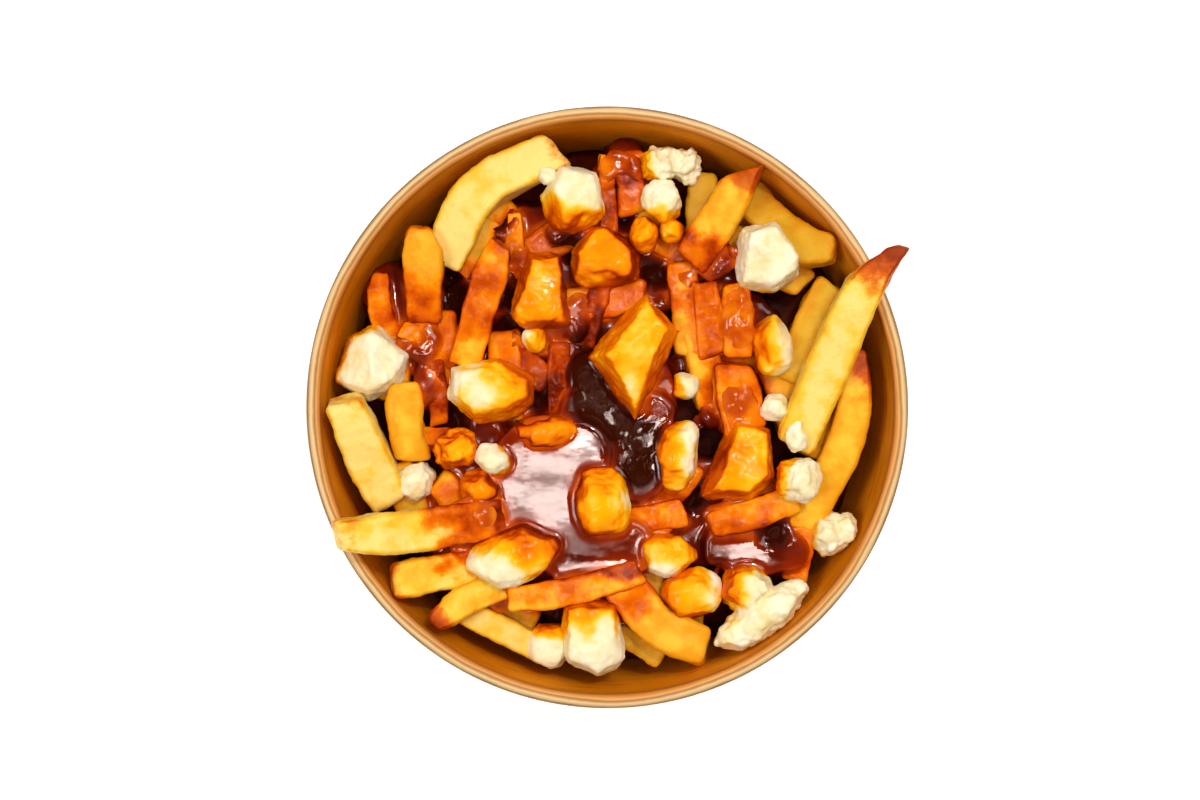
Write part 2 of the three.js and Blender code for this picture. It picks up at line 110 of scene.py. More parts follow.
# The fries that show, from the back of the bowl round to the front. tone runs from pale to deep
# gold, tip is the width of the first end, brown the browning of both, and glaze is gravy.
# The darker, duller gold that some fries are given is painted shade, for fries that lie in shadow.
FRIES = [
    fry(11.6, (-11.9, 65.2, 49.5), (-33.8, 55.2, 49), (-42, 37, 45), tone=0.08, brown=(0.4, 0.1)),
    fry(10, (-47.5, 46, 51), (-46.5, 36, 50), (-46.5, 22, 45),
        tip=0.6, glaze=0.35, glaze_end=0.9, brown=(0.6, 0)),
    fry(6.4, (-57.5, 34.5, 47), (-58.5, 27, 46), (-56, 17, 43), tip=0.6, glaze=0.8, brown=(0.5, 0)),
    fry(8.8, (-27, 41.5, 54.5), (-31, 28, 52), (-36.5, 10.5, 47.5), tip=0.6, glaze=0.8, brown=(0.6, 0)),
    fry(4.8, (-23.8, 49.5, 48), (-23.4, 34, 47), tip=0.7, tone=0.8, dull=0.3, glaze=0.5),
    fry(6.4, (-29, 48, 45.5), (-38, 34.5, 44.5), tone=0.9, dull=0.5, glaze=0.2),
    fry(4.4, (-0.3, 64.5, 48), (0.4, 44, 47), glaze=0.9),
    fry(8, (5.2, 65.5, 46), (6.5, 49, 46), glaze=1),
    fry(9.6, (34.6, 59.2, 57), (29.8, 49.5, 54.5), (21.5, 37, 49),
        slant=-0.7, tone=0.9, glaze=0.25, glaze_end=1.1, brown=(0.8, 0)),
    fry(8, (24.5, 60, 45.5), (24, 44, 45.5), tone=0.5, dull=0.75),
    fry(10, (57.6, 39.6, 54), (47.4, 41.2, 49.5), (36, 53.5, 43.5),
        tip=0.7, tone=0.75, dull=0.5, brown=(0.3, 0)),
    fry(10.6, (72.4, 39, 68.4), (64.4, 33, 64.8), (47.5, -9, 49), tip=0.2, tone=0.3, brown=(1, 0.2)),
    fry(9, (57, 31.5, 49.5), (45.5, 7, 45), tone=0.7, dull=0.4),
    fry(9.2, (63.2, 14.5, 54), (61.2, -8, 51), (49.8, -31.5, 44.5), tip=0.4, tone=0.8, brown=(0.9, 0)),
    fry(6, (57.5, 4, 45.5), (51.5, -13, 45), tone=0.9, dull=0.5),
    fry(11.2, (-66.2, 2.2, 55), (-62, -9.5, 50.5), (-55.5, -24, 45), tone=0.15, brown=(0.25, 0)),
    fry(9.6, (-51.3, 6.5, 48), (-51.5, -4.5, 47.5), (-49.5, -13, 45), tip=0.7, tone=0.9, glaze=0.15),
    fry(10.4, (-66.4, -31.4, 65.6), (-49, -31.2, 58), (-27, -28, 48.5),
        tip=0.75, tone=0.28, glaze_end=1, brown=(0.3, 0)),
    fry(9.8, (-54.2, -43.9, 53.5), (-33, -40.5, 48.5), tone=0.45, glaze_end=0.7, brown=(0.5, 0)),
    fry(7.6, (-43.4, -54.6, 55.8), (-36.5, -49, 53), (-26, -45, 48), tip=0.6, tone=0.7, brown=(0.9, 0)),
    fry(7.2, (-37.5, -51.5, 47.5), (-27, -56.6, 47.5), (-15.5, -62.5, 46.5), tone=0.35, dull=0.15),
    fry(7.2, (-25, -48.8, 51.5), (-9.4, -47, 51), (8.5, -41.5, 49.5), tone=0.9, glaze=0.4),
    fry(11.2, (25.4, -61.3, 50), (12.2, -56, 48.5), (3.4, -44.5, 46.5), tip=0.85, glaze_end=0.6),
    fry(5.6, (2, -57, 45), (14, -64.5, 45.5), tone=0.6, dull=0.4),
    fry(7.2, (24.7, 32, 48.5), (27, 13, 48), glaze=0.7),
    fry(7.4, (33, 31.5, 50), (33.2, 12.5, 49), glaze=0.8),
    fry(11.4, (31.8, 11, 49.5), (35.4, -6.5, 48.5), thick=8.5, glaze=0.7),
    fry(7.4, (18.4, 37, 48), (21.4, 13, 47), glaze=0.7),
    fry(7.8, (26, -29.6, 48.5), (36.8, -27.2, 49.5), (48, -23, 48.5), tone=0.9, glaze=0.5),
    fry(7.2, (5.5, -29, 48), (20, -26.6, 48), glaze=0.6),
    fry(6, (-12, 16.5, 47.5), (-12.6, -4, 46), glaze=1),
    fry(6.6, (-25.5, 17.5, 47), (-15, 5.5, 46), glaze=1),
    fry(5.4, (-44, 12.5, 46.5), (-43, -4.5, 44), glaze=1.1),
    fry(5, (-48.5, -7.4, 45.5), (-37, -8, 45.5), glaze=1.1),
    fry(5.6, (-1.4, 31.5, 48), (-6, 15.5, 47), glaze=0.8),
    fry(5.4, (-52.8, 20, 48), (-43, 16.5, 46), tone=0.6, glaze=0.5),
    fry(7.2, (50.2, -30, 46.5), (48, -44.5, 45), glaze=1),
    fry(5.4, (35.5, -35, 46.5), (44.5, -28.5, 46.5), glaze=0.8),
]

# The curds. torn is how many seeded tears one has, each flat is (direction in plan, tilt up from
# level, distance from the middle), and more are lumps grown on it. gravy is how much of it is
# coated, gravy_from is the side that the gravy runs down, and thick makes the coat thicker.
CURDS = {
    "back_left": curd(
        (-8.8, 52.6, 53.9), (17, 18, 13), torn=4, seed=3, gravy=0.42, gravy_from=-110,
        flats=[(78, 10, 7.6), (10, 5, 7.4), (-60, 20, 7.4), (200, 25, 6.4), (150, 15, 6.8)]),
    "back_left_crumb": curd((-14.9, 58, 54.8), (5.4, 4.6, 4), seed=5, gravy=0.05),
    # Its thin yellow coat at the edges is painted shade on the pale shreds.
    "back_torn": curd(
        (13.5, 61.2, 50.5), (9.5, 9.5, 8.5), seed=7, gravy=0.4, gravy_from=200, thick=-0.3, ragged=3.6,
        more=[curd((19.8, 61.6, 50), (7.5, 8.5, 7), seed=8)]),
    "back_middle": curd((14, 52, 52.2), (10.4, 12, 9), seed=9, gravy=0.34, gravy_from=-90, ragged=1.2),
    "back_glazed_left": curd((9.5, 43.6, 51.5), (7.4, 9.8, 8), torn=3, seed=11, gravy=0.9),
    "back_glazed_right": curd((16.4, 44.6, 51), (6.4, 6.8, 6.5), torn=3, seed=12, gravy=0.85),
    "back_right": curd(
        (40.8, 37.7, 55), (19, 19, 13), torn=0, gravy=0.14, gravy_from=-100,
        flats=[(101, 12, 8.1), (38, 10, 6.3), (-12, 8, 7.8), (-56, 8, 7.6), (-98, 12, 8), (178, 14, 7.2),
            (60, 72, 5.6), (230, 70, 5.2)]),
    # The thin coat on its upper left side is painted shade, for the side in shadow.
    "left_big": curd(
        (-59.6, 11.2, 50.5), (19, 20, 14), torn=0, gravy=0.34, gravy_from=140, thick=-0.3,
        flats=[(160, 14, 7.2), (118, 12, 8.4), (48, 10, 7.6), (-20, 8, 8), (-62, 10, 7.8),
            (-120, 14, 8.4), (20, 62, 6), (170, 60, 5.2)]),
    "centre_left": curd(
        (-30, 4.3, 53), (24, 17, 13), torn=3, seed=15, gravy=0.62, gravy_from=-15, thick=-0.14,
        flats=[(172, 10, 9.6), (104, 14, 7), (60, 14, 8), (-6, 8, 11), (-80, 16, 7.2), (-135, 12, 8.2),
            (90, 75, 5.4)]),
    "upper_left": curd(
        (-16.5, 29.4, 53.5), (18, 21, 10), torn=0, gravy=0.95, thick=0.06,
        flats=[(90, 12, 9), (7, 8, 5.7), (162, 14, 5.6), (-86, 14, 9.1), (40, 74, 4.2)]),
    "upper_middle": curd(
        (-0.4, 37.6, 52.5), (20, 16, 11), torn=2, seed=19, gravy=0.92, thick=0.08,
        flats=[(140, 12, 7.2), (52, 12, 6.4), (0, 14, 8), (-82, 12, 6.6), (180, 8, 8.2), (90, 72, 4.4)]),
    "centre_big": curd(
        (7.4, 13.1, 55.5), (30, 34, 14), torn=0, gravy=0.95, thick=-0.12,
        flats=[(137, 14, 7.8), (41, 10, 11.4), (-25, 16, 5.6), (217, 18, 8.6), (100, 66, 7),
            (-60, 70, 5.6), (20, 78, 5.8)]),
    "centre_crumb": curd((-18.4, 17.6, 50.5), (6.4, 7.8, 6.4), seed=21, gravy=0.6, thick=-0.15),
    "pool_top": curd(
        (-14.5, -6.6, 51), (17, 7.8, 7.6), turn=8, torn=3, seed=22, gravy=0.72, gravy_from=180, thick=-0.06,
        more=[curd((-20.6, -6.6, 50.6), (8, 6, 6.4), torn=3, seed=23)]),
    "pool_left": curd(
        (-38.2, -10.6, 51.5), (11.4, 10, 8.6), turn=30, seed=25, gravy=0.95, gravy_from=180, ragged=1.6),
    "pool_left_white": curd((-28.6, -13.2, 53), (9.8, 7.6, 7.6), turn=-20, seed=26, gravy=0.15),
    "pool_left_glazed": curd(
        (-32, -20, 51), (10.8, 10, 9), turn=10, torn=4, seed=27, gravy=0.95, thick=0.08),
    "left_small": curd(
        (-49, -19.2, 47.5), (12.6, 9, 8), turn=25, seed=28, gravy=0.12, gravy_from=-60, ragged=1.2),
    "front_left": curd(
        (-23.7, -37.7, 54), (24.6, 14.4, 11.5), turn=20, torn=4, seed=31,
        gravy=0.52, gravy_from=66, thick=0.12),
    # Its right edge is left bare cream as a painted highlight.
    "pool_right": curd(
        (-1.3, -24.1, 53), (14, 18.6, 11.5), turn=12, torn=3, seed=32,
        gravy=0.72, gravy_from=190, thick=-0.04),
    "centre_right_crumb": curd(
        (19.8, 5.6, 49.5), (7.8, 6.8, 6.4), seed=33, gravy=0.4, gravy_from=200, thick=-0.1),
    # Its right side is left bare cream as a painted highlight.
    "centre_right": curd(
        (17.8, -12, 53), (10.8, 18.4, 10.5), turn=-12, torn=4, seed=34, gravy=0.55, gravy_from=180),
    "right_big": curd(
        (32.9, -13.8, 54.5), (24, 24, 12.5), torn=0, gravy=0.95, gravy_from=200, thick=-0.02,
        flats=[(156, 14, 4.6), (75, 10, 9.8), (5, 10, 8.4), (-45, 12, 8.8), (-92, 14, 8.8),
            (60, 74, 5)]),
    "right_upper": curd((42.2, 0, 53), (7.4, 7.6, 7), seed=36, gravy=0.12, ragged=1.2),
    "right_on_fry": curd((47.4, -7.6, 56.4), (5, 8, 5), torn=4, seed=37, gravy=0.05, ragged=1.2),
    "right_lower": curd(
        (48.4, -18.2, 54.6), (11.4, 11.6, 9.5), seed=38, gravy=0.32, gravy_from=170, thick=-0.1, ragged=1.6),
    "right_half_glazed": curd(
        (41.6, 15.6, 52.5), (9.8, 16, 9.5), turn=6, torn=4, seed=39, gravy=0.52, gravy_from=180),
    "right_edge": curd(
        (56.4, -32.3, 50.5), (8.6, 11.4, 9), seed=41, gravy=0.3, gravy_from=200, thick=-0.3, ragged=1.8,
        more=[curd((60.2, -31.2, 50.8), (6.4, 9.4, 7.5), seed=42)]),
    "front_right": curd(
        (39.4, -52.9, 52.5), (28, 9.6, 11), turn=34, torn=4, seed=44,
        gravy=0.3, gravy_from=150, thick=-0.06, ragged=1.6,
        more=[curd((35, -46, 52.5), (14, 12, 11), seed=45)]),
    "front_small": curd(
        (15.4, -37.4, 51.5), (14.4, 12, 9.5), turn=15, seed=46, gravy=0.62, gravy_from=60, thick=-0.16),
    "front_glazed": curd(
        (21.5, -47, 52), (15.5, 12.8, 10), turn=10, torn=4, seed=47,
        gravy=0.72, gravy_from=200, thick=-0.04),
    "front_middle": curd(
        (-3.8, -57.6, 53), (18, 21, 12), torn=2, seed=48, gravy=0.4, gravy_from=95, thick=0.02,
        flats=[(84, 14, 8.2), (12, 8, 7.2), (-66, 10, 9.8), (-112, 10, 8.8), (176, 12, 7.2),
            (90, 74, 5)]),
    "front_shaded": curd(
        (-14.2, -60.6, 48.5), (12.6, 12.4, 10), seed=50, gravy=0.36, gravy_from=80, thick=-0.05),
}
CURD_FULLNESS = 2.6
CURD_SLOPE = 0.16

# How thickly gravy coats a curd: at least, near the gravy, on the side it comes from, on slopes. Near the
# gravy and on slopes the thicker, darker coat is partly painted shade.
COAT_LEAST = 0.43
COAT_WET_AND_SHADE = 0.34
COAT_SIDE = 0.22
COAT_SLOPE = 0.34

# How deeply gravy colours a fry: at least, by the fry's own glaze, near the gravy, on slopes. Near the gravy
# and on slopes the deeper colour is partly gravy and partly painted shade.
GLAZE_LEAST = 0.16
GLAZE_OWN = 0.46
GLAZE_WET_AND_SHADE = 0.55
GLAZE_SLOPE = 0.34
GLAZE_MOST = 0.8
GLAZE_SPLASH = 0.3

# Gravy stands level in these rounds, (x, y, radius), and lies as a film over the patches
POOLS = [
    dict(level=52.4, depth=4.4, rounds=[
        (-16, -15, 13), (-22, -26, 12), (-9, -33, 11), (4, -36, 8), (-32, -33, 8), (-8, -12, 9)]),
    dict(level=50.8, depth=3.6, rounds=[(-3, -1, 9), (4, -7, 9), (11, -3, 7), (8, -17, 7), (-4, 8, 6)]),
    dict(level=50, depth=4, rounds=[(32, -36, 7.5), (40, -35.5, 7.5), (46, -37, 5)]),
]
PATCHES = [
    (-56, 29, 8), (-48, 26, 8), (-46, 16, 9), (-42, 4, 7), (-33, 27, 11), (-20, 43, 10), (-12, 47, 8),
    (-2, 46, 10), (3, 57, 8), (5, 65, 5), (-12, 27, 14), (8, 35, 13), (21, 35, 11), (28, 29, 10),
    (31, 14, 10), (33, 2, 10), (-2, 2, 20), (-17, 12, 15), (-35, -9, 10), (-37, -25, 9), (-17, -21, 17),
    (-2, -34, 15), (13, -19, 15), (24, -29, 12), (33, -20, 11), (38, -34, 10), (47, -38, 6), (-12, -46, 11),
    (-26, -46, 6), (-40, -37, 5), (8, -49, 6), (0, -52, 6), (24, -48, 5), (38, 24, 6),
]
FILL_LEVEL = 48.6
FILL_FALL = 4.2
FILL_REACH = 60
FILL_SPAN = 140 * MM
FILL_CELLS = 130
FILL_FLOOR = 36 * MM
FILL_DEPTH = 8 * MM
FILM_FLOOR = 38 * MM
FILM_TUCK = 1.8 * MM
DEPTH_LIMIT = 12 * MM

# Gravy that has run over the fries, as low mounds: (x, y, z, length, width, turn)
MOUNDS = [
    (28, 37.5, 51.5, 14, 9, 50), (33.3, 22.5, 52.6, 15, 8.5, 90), (34, 0.5, 52.6, 12, 9, 100),
    (-35, -27.5, 54, 15, 10, 5), (-48, 16, 48.4, 12, 9, 20), (-9, 43.5, 49.4, 16, 8, 0),
    (3, 61, 49.2, 9, 12, 80), (-2, -38, 50.2, 16, 8, 10), (45, -33.5, 49.6, 9, 10, 60),
    (-25, 46, 49, 9, 8, 60), (-22.5, 37, 49.2, 6, 12, 10), (30, -26.5, 50.4, 13, 7, 10),
    (13, -29, 49.4, 12, 7, 0), (-13, 22, 49, 7, 9, 0), (-8, 22, 50.4, 6, 13, 0), (21, 30, 49.6, 7, 12, 0),
    (-29, 20, 48.2, 9, 8, 0), (-46.5, 6, 47.6, 7, 12, 0), (-3, -46, 50.2, 12, 5, 10),
    (24, -4, 48.6, 8, 9, 0),
]
MOUND_WANDER = 2.6 * MM

# Where the gravy lies deep and dark: (x, y, radius, how far it is sunk). The darkening is deep gravy in the
# dark pool by the centre, and painted shade in the gaps between the pieces.
HOLLOWS = [
    (-3, 16, 5, 0), (-4, 9, 6, 0), (-3, 1, 6, 0), (3, -4, 4.5, 0), (8.5, -8, 5, 0), (8.5, -15.5, 5, 0),
    (-42, 34, 4.5, 3), (-40, 27, 5, 3), (-26.7, 17, 5.5, 3), (-17, 9, 2.8, 2.5), (-17, 2, 2.8, 2.5),
    (4.1, 55, 2.8, 2.5), (4.1, 48.5, 2.8, 2.5), (-41, -3.8, 5, 2.5), (25.6, -9.4, 3.4, 2), (21, -22.6, 4, 2),
    (10.5, -45, 2.6, 2.5), (12.1, 33.5, 3.2, 2), (-9, 40.3, 3.4, 1.5), (24.1, 28.5, 2.6, 2), (40.8, 5, 3, 2),
    (-28, 48, 3.4, 2), (-26.8, 28, 2.8, 2), (-15.7, -52.9, 5, 2), (42.3, -31.5, 3.6, 1.5), (45.8, 30, 5, 2),
]

# Soft boxes that the wet gravy mirrors to the camera: (x, y, width, depth) in metres
GLOSS_LIGHTS = [
    (-0.034, -0.053, 0.06, 0.09), (0.083, -0.087, 0.06, 0.045), (0.081, 0.06, 0.02, 0.05),
    (0.004, 0.004, 0.036, 0.07), (-0.019, 0.05, 0.014, 0.05), (-0.023, 0.098, 0.04, 0.012),
    (0.08, 0, 0.018, 0.034),
]
GLOSS_HEIGHT = 0.7
GLOSS_TINT = (1, 0.86, 0.8)
SENSOR_WIDTH = 36
VIEW_PIXELS = 1200
CAMERA_SHIFT = 1.8 * MM


def linear(code):
    """The linear colour of an sRGB hex code such as F2B92E. Any other colour stays as it is."""
    if not isinstance(code, str):
        return tuple(code)
    parts = [int(code[place:place + 2], 16) / 255 for place in (0, 2, 4)]
    return [part / 12.92 if part <= 0.04045 else ((part + 0.055) / 1.055) ** 2.4 for part in parts] + [1.0]


# Small helpers for modelling
def deselect():
    """Leaves object mode with nothing selected."""
    if bpy.context.object and bpy.context.object.mode != "OBJECT":
        bpy.ops.object.mode_set(mode="OBJECT")
    bpy.ops.object.select_all(action="DESELECT")


def activate(piece):
    """Selects one object only."""
    deselect()
    piece.select_set(True)
    bpy.context.view_layer.objects.active = piece


def edit_all(piece):
    """Goes into edit mode on one object with all of it selected."""
    activate(piece)
    bpy.ops.object.mode_set(mode="EDIT")
    bpy.ops.mesh.select_all(action="SELECT")


def object_mode():
    bpy.ops.object.mode_set(mode="OBJECT")


def read_rows(items, name, width, kind=np.float32):
    """One property of all of a mesh's elements, as rows of numbers."""
    flat = np.empty(len(items) * width, kind)
    items.foreach_get(name, flat)
    return flat.reshape(-1, width)


def points_of(piece):
    return read_rows(piece.data.vertices, "co", 3).astype(np.float64)


def normals_of(piece):
    return read_rows(piece.data.vertex_normals, "vector", 3).astype(np.float64)


def set_points(piece, places):
    piece.data.vertices.foreach_set("co", np.asarray(places, np.float32).ravel())
    piece.data.update()


def get_attribute(piece, name):
    return read_rows(piece.data.attributes[name].data, "value", 1)[:, 0].astype(np.float64)


def set_attribute(piece, name, values):
    """Writes one number per vertex, which the materials read by name."""
    layer = piece.data.attributes.get(name) or piece.data.attributes.new(name, "FLOAT", "POINT")
    layer.data.foreach_set("value", np.asarray(values, np.float32))


def distance_to(tree, places, furthest):
    """How far each place is from a surface, up to a limit."""
    found = [tree.find_nearest(place, furthest)[3] for place in places]
    return np.array([furthest if away is None else away for away in found])


def spread(piece, values, rounds):
    """Evens out one number per vertex with its neighbours'."""
    edges = read_rows(piece.data.edges, "vertices", 2, np.int32)
    one, other = edges.T
    whole = len(values)
    count = np.bincount(edges.ravel(), minlength=whole) + 1
    for _ in range(rounds):
        total = values + np.bincount(one, values[other], whole) + np.bincount(other, values[one], whole)
        values = total / count
    return values


def add_modifier(piece, kind, **settings):
    """Adds a modifier, sets it and applies it."""
    activate(piece)
    modifier = piece.modifiers.new(kind.title(), kind)
    for key, value in settings.items():
        setattr(modifier, key, value)
    bpy.ops.object.modifier_apply(modifier=modifier.name)


def roughen(piece, size, strength):
    """Moves the surface in and out by soft clouds of the given feature size."""
    texture = bpy.data.textures.new("grain", "CLOUDS")
    texture.noise_scale = size
    add_modifier(
        piece, "DISPLACE", texture=texture, strength=strength, mid_level=0.5, texture_coords="LOCAL")
    bpy.data.textures.remove(texture)


def settle(piece):
    """Applies the place, turn and scale that an object was added with."""
    bpy.ops.object.transform_apply(location=True, rotation=True, scale=True)
    return piece


def join(pieces, name):
    """Joins objects into the first one and names it."""
    deselect()
    for piece in pieces:
        piece.select_set(True)
    bpy.context.view_layer.objects.active = pieces[0]
    if len(pieces) > 1:
        bpy.ops.object.join()
    joined = bpy.context.view_layer.objects.active
    joined.name = name
    joined.data.name = name
    return joined


def copy_of(piece, name):
    """A copy with its own mesh."""
    twin = piece.copy()
    twin.data = piece.data.copy()
    twin.name = name
    twin.data.name = name
    bpy.context.scene.collection.objects.link(twin)
    return twin


def smooth(piece):
    activate(piece)
    bpy.ops.object.shade_smooth()


def dress(piece, material, slot, *nodes):
    """Gives a finished piece its material and its body, and hides the nodes that it stands for. The slot is
    not used.
    """
    piece.data.materials.clear()
    piece.data.materials.append(material)
    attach(piece, "root")
    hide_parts(*nodes)


def seeded(seed):
    """The same small random numbers as the solids are made with."""
    state = seed * 7919 + 17
    while True:
        state = state * 16807 % 2147483647
        yield state / 2147483647


def turned(x, y, angle):
    """A place in plan, turned about the origin."""
    return x * np.cos(angle) - y * np.sin(angle), x * np.sin(angle) + y * np.cos(angle)


def direction(around, lift):
    """The unit vector that points a way round in plan and is tilted up, in radians."""
    return Vector((math.cos(around) * math.cos(lift), math.sin(around) * math.cos(lift), math.sin(lift)))


def smoothstep(low, high, values):
    share = np.clip((np.asarray(values, float) - low) / (high - low), 0, 1)
    return share * share * (3 - 2 * share)


def rough_noise(places, size, seed=0.0):
    """Smooth noise from about -1 to 1 at each place, with features of the given size."""
    shift = Vector((seed * 3.1, seed * 5.7, seed * 1.3))
    return np.array([noise.noise(Vector(place) / size + shift) for place in places])


def away_from(x, y, places):
    """How far each place is in plan from a point given in mm, in mm."""
    return np.hypot(places[:, 0] / MM - x, places[:, 1] / MM - y)


def gravy_cover(places):
    """How well each place lies inside the gravy patches: above 0 inside, below 0 outside, in mm."""
    wander = 1.6 * rough_noise(places, 7 * MM, 4) + 0.7 * rough_noise(places, 2.6 * MM, 9)
    return wander + np.max([radius - away_from(x, y, places) for x, y, radius in PATCHES], axis=0)


def hollow_share(places):
    """How deep in the dark hollows each place lies, from 0 to 1, and how far it is sunk, in mm."""
    share, sunk = np.zeros(len(places)), np.zeros(len(places))
    wander = 0.8 * rough_noise(places, 3 * MM, 14)
    for x, y, radius, sink in HOLLOWS:
        inside = smoothstep(radius + 2, radius - 2.4, away_from(x, y, places) + wander)
        share, sunk = np.maximum(share, inside), np.maximum(sunk, inside * sink)
    return share, sunk


def dome_level(places):
    """How high the gravy's low dome is at each place, in mm."""
    return FILL_LEVEL - FILL_FALL * (away_from(0, 0, places) / FILL_REACH) ** 2


def gravy_level(places):
    """How high the gravy stands at each place, in mm: its dome, and level in the pools."""
    level = dome_level(places)
    for pool in POOLS:
        for x, y, radius in pool["rounds"]:
            inside = smoothstep(radius + 2, radius - 1, away_from(x, y, places))
            level = np.maximum(level, level + (pool["level"] - level) * inside)
    return level


# The materials
class Maker:
    """Builds the node tree of one material, with short calls for the nodes used here."""

    def __init__(self, name):
        self.material = bpy.data.materials.new(name)
        self.material.use_nodes = True
        self.tree = self.material.node_tree
        self.place = self.add("ShaderNodeTexCoord").outputs["Object"]

    def put(self, value, socket):
        """Links a node's output to a socket, or sets a number or a colour on it."""
        if isinstance(value, bpy.types.NodeSocket):
            self.tree.links.new(value, socket)
        elif isinstance(value, (int, float)):
            socket.default_value = value
        else:
            socket.default_value = linear(value)

    def add(self, kind, inputs=None, **settings):
        """A new node with its settings, and what goes into its sockets, by name or number."""
        node = self.tree.nodes.new(kind)
        for key, value in settings.items():
            setattr(node, key, value)
        for key, value in (inputs or {}).items():
            self.put(value, node.inputs[key])
        return node

    def attribute(self, name):
        return self.add("ShaderNodeAttribute", attribute_name=name).outputs["Fac"]

    def noise(self, scale, detail=4, roughness=0.55, stretch=None):
        place = self.place
        if stretch:
            place = self.add("ShaderNodeMapping", {"Vector": place, "Scale": stretch}).outputs["Vector"]
        inputs = {"Vector": place, "Scale": scale, "Detail": detail, "Roughness": roughness}
        return self.add("ShaderNodeTexNoise", inputs).outputs["Fac"]

    def range(self, value, low, high, to_low=0.0, to_high=1.0):
        inputs = {"Value": value, "From Min": low, "From Max": high, "To Min": to_low, "To Max": to_high}
        return self.add("ShaderNodeMapRange", inputs, interpolation_type="SMOOTHSTEP").outputs["Result"]

    def math(self, operation, one, other):
        return self.add("ShaderNodeMath", {0: one, 1: other}, operation=operation).outputs["Value"]

    def varied(self, name, pattern, low, high, amount):
        """A painted attribute with a pattern's light and dark added to it."""
        return self.math("ADD", self.attribute(name), self.range(pattern, low, high, -amount, amount))

    def ramp(self, value, *stops):
        """A run of colours through stops of (place, hex code)."""
        node = self.add("ShaderNodeValToRGB", {"Fac": value})
        band = node.color_ramp
        for place, code in stops[1:-1]:
            band.elements.new(place).color = linear(code)
        for end in (0, -1):
            band.elements[end].position, band.elements[end].color = stops[end][0], linear(stops[end][1])
        return node.outputs["Color"]

    def mix(self, share, one, other):
        return self.add("ShaderNodeMix", {0: share, 6: one, 7: other}, data_type="RGBA").outputs[2]

    def bump(self, height, strength, distance):
        inputs = {"Height": height, "Strength": strength, "Distance": distance}
        return self.add("ShaderNodeBump", inputs).outputs["Normal"]

    def finish(self, **values):
        """Fills the shader's own sockets, named as in specular_ior_level."""
        shader = self.tree.nodes["Principled BSDF"]
        for key, value in values.items():
            self.put(value, shader.inputs[key.replace("_", " ").title().replace("Ior", "IOR")])
        return self.material


def kraft_material(settings):
    """Lined kraft board: brown fibres, streaks that run round the wall, and a soft shine, with painted shade
    low on the inner wall and painted highlights and painted shade across the lip.
    """
    make = Maker("kraft_board")
    height = make.add("ShaderNodeSeparateXYZ", {0: make.place}).outputs["Z"]
    cloud = make.noise(28, 5, 0.6)
    streak = make.noise(60, 4, 0.6, stretch=(1, 1, 14))
    fibre = make.noise(1500, 3, 0.7)
    # Lighter towards the rim and darker low down, where the food shades the wall: painted shade.
    lining = make.mix(make.range(height, 30 * MM, BOWL_HEIGHT), settings.lining_colour, "F4A934")
    lining = make.mix(make.range(cloud, 0.35, 0.65), lining, "DA8A0C")
    lining = make.mix(make.range(streak, 0.5, 0.7, 0, 0.5), lining, "B0620A")
    lining = make.mix(make.range(fibre, 0.56, 0.74, 0, 0.25), lining, "98560C")
    plain = make.mix(make.range(cloud, 0.35, 0.65), settings.board_colour, "C08F56")
    plain = make.mix(make.range(fibre, 0.54, 0.72, 0, 0.35), plain, "9C7040")
    wall = make.mix(make.attribute("outside"), lining, plain)
    # Across the lip, from inside out: painted highlights on a bright inner line and on the crest, and
    # painted shade in the darker line between them and at the outer edge.
    roll = make.ramp(
        make.varied("across", streak, 0.3, 0.7, 0.06),
        (0.0, "C0803A"), (0.14, "D69654"), (0.27, "E2AA6C"), (0.36, "A67C4C"), (0.45, "BE905E"),
        (0.58, "E8C896"), (0.76, "D6B07C"), (0.87, "94795A"), (0.97, "A08058"), (1.0, "B48C58"))
    return make.finish(
        base_color=make.mix(make.attribute("lip"), wall, roll),
        roughness=make.range(cloud, 0.3, 0.7, 0.42, 0.55), specular_ior_level=0.06,
        normal=make.bump(fibre, 0.12, 0.1 * MM))


def fry_material(settings):
    """Fried potato: pale to deep gold, browned at the tips and edges, orange under a glaze."""
    make = Maker("fried_potato")
    blotch = make.noise(170, 5, 0.6)
    fine = make.noise(900, 4, 0.6)
    tone = make.varied("tone", blotch, 0.3, 0.7, 0.25)
    base = make.ramp(tone, (0.0, settings.pale_colour), (0.4, "F0C640"), (1.0, settings.gold_colour))
    base = make.mix(make.range(fine, 0.55, 0.75, 0, 0.25), base, "E3A93A")
    # Fries that lie in shadow are mixed towards a dull dark gold: painted shade.
    base = make.mix(make.attribute("dull"), base, "BC8A1E")
    brown = make.varied("brown", blotch, 0.35, 0.7, 0.2)
    crust = make.ramp(brown, (0.2, "EA9A1E"), (0.6, "D2640A"), (1.0, "963606"))
    base = make.mix(make.range(brown, 0.12, 0.6), base, crust)
    glaze = make.varied("glaze", blotch, 0.35, 0.65, 0.12)
    # The near black end of the glaze is reached only by fries low in the hollows, as painted shade.
    sauce = make.ramp(
        glaze, (0.1, "F8AC1A"), (0.35, "F08A08"), (0.58, "D86404"), (0.78, "A83A01"), (0.94, "641802"),
        (1.0, "1E0602"))
    relief = make.math("ADD", fine, make.range(blotch, 0.3, 0.7, 0, 2))
    return make.finish(
        base_color=make.mix(make.range(glaze, 0.08, 0.4), base, sauce),
        roughness=make.range(glaze, 0.1, 0.5, 0.42, 0.1),
        specular_ior_level=make.range(glaze, 0.85, 1, 0.15, 0.03),
        subsurface_weight=0.12, subsurface_scale=3 * MM, subsurface_radius=(1.0, 0.6, 0.25),
        normal=make.bump(relief, 0.22, 0.3 * MM))


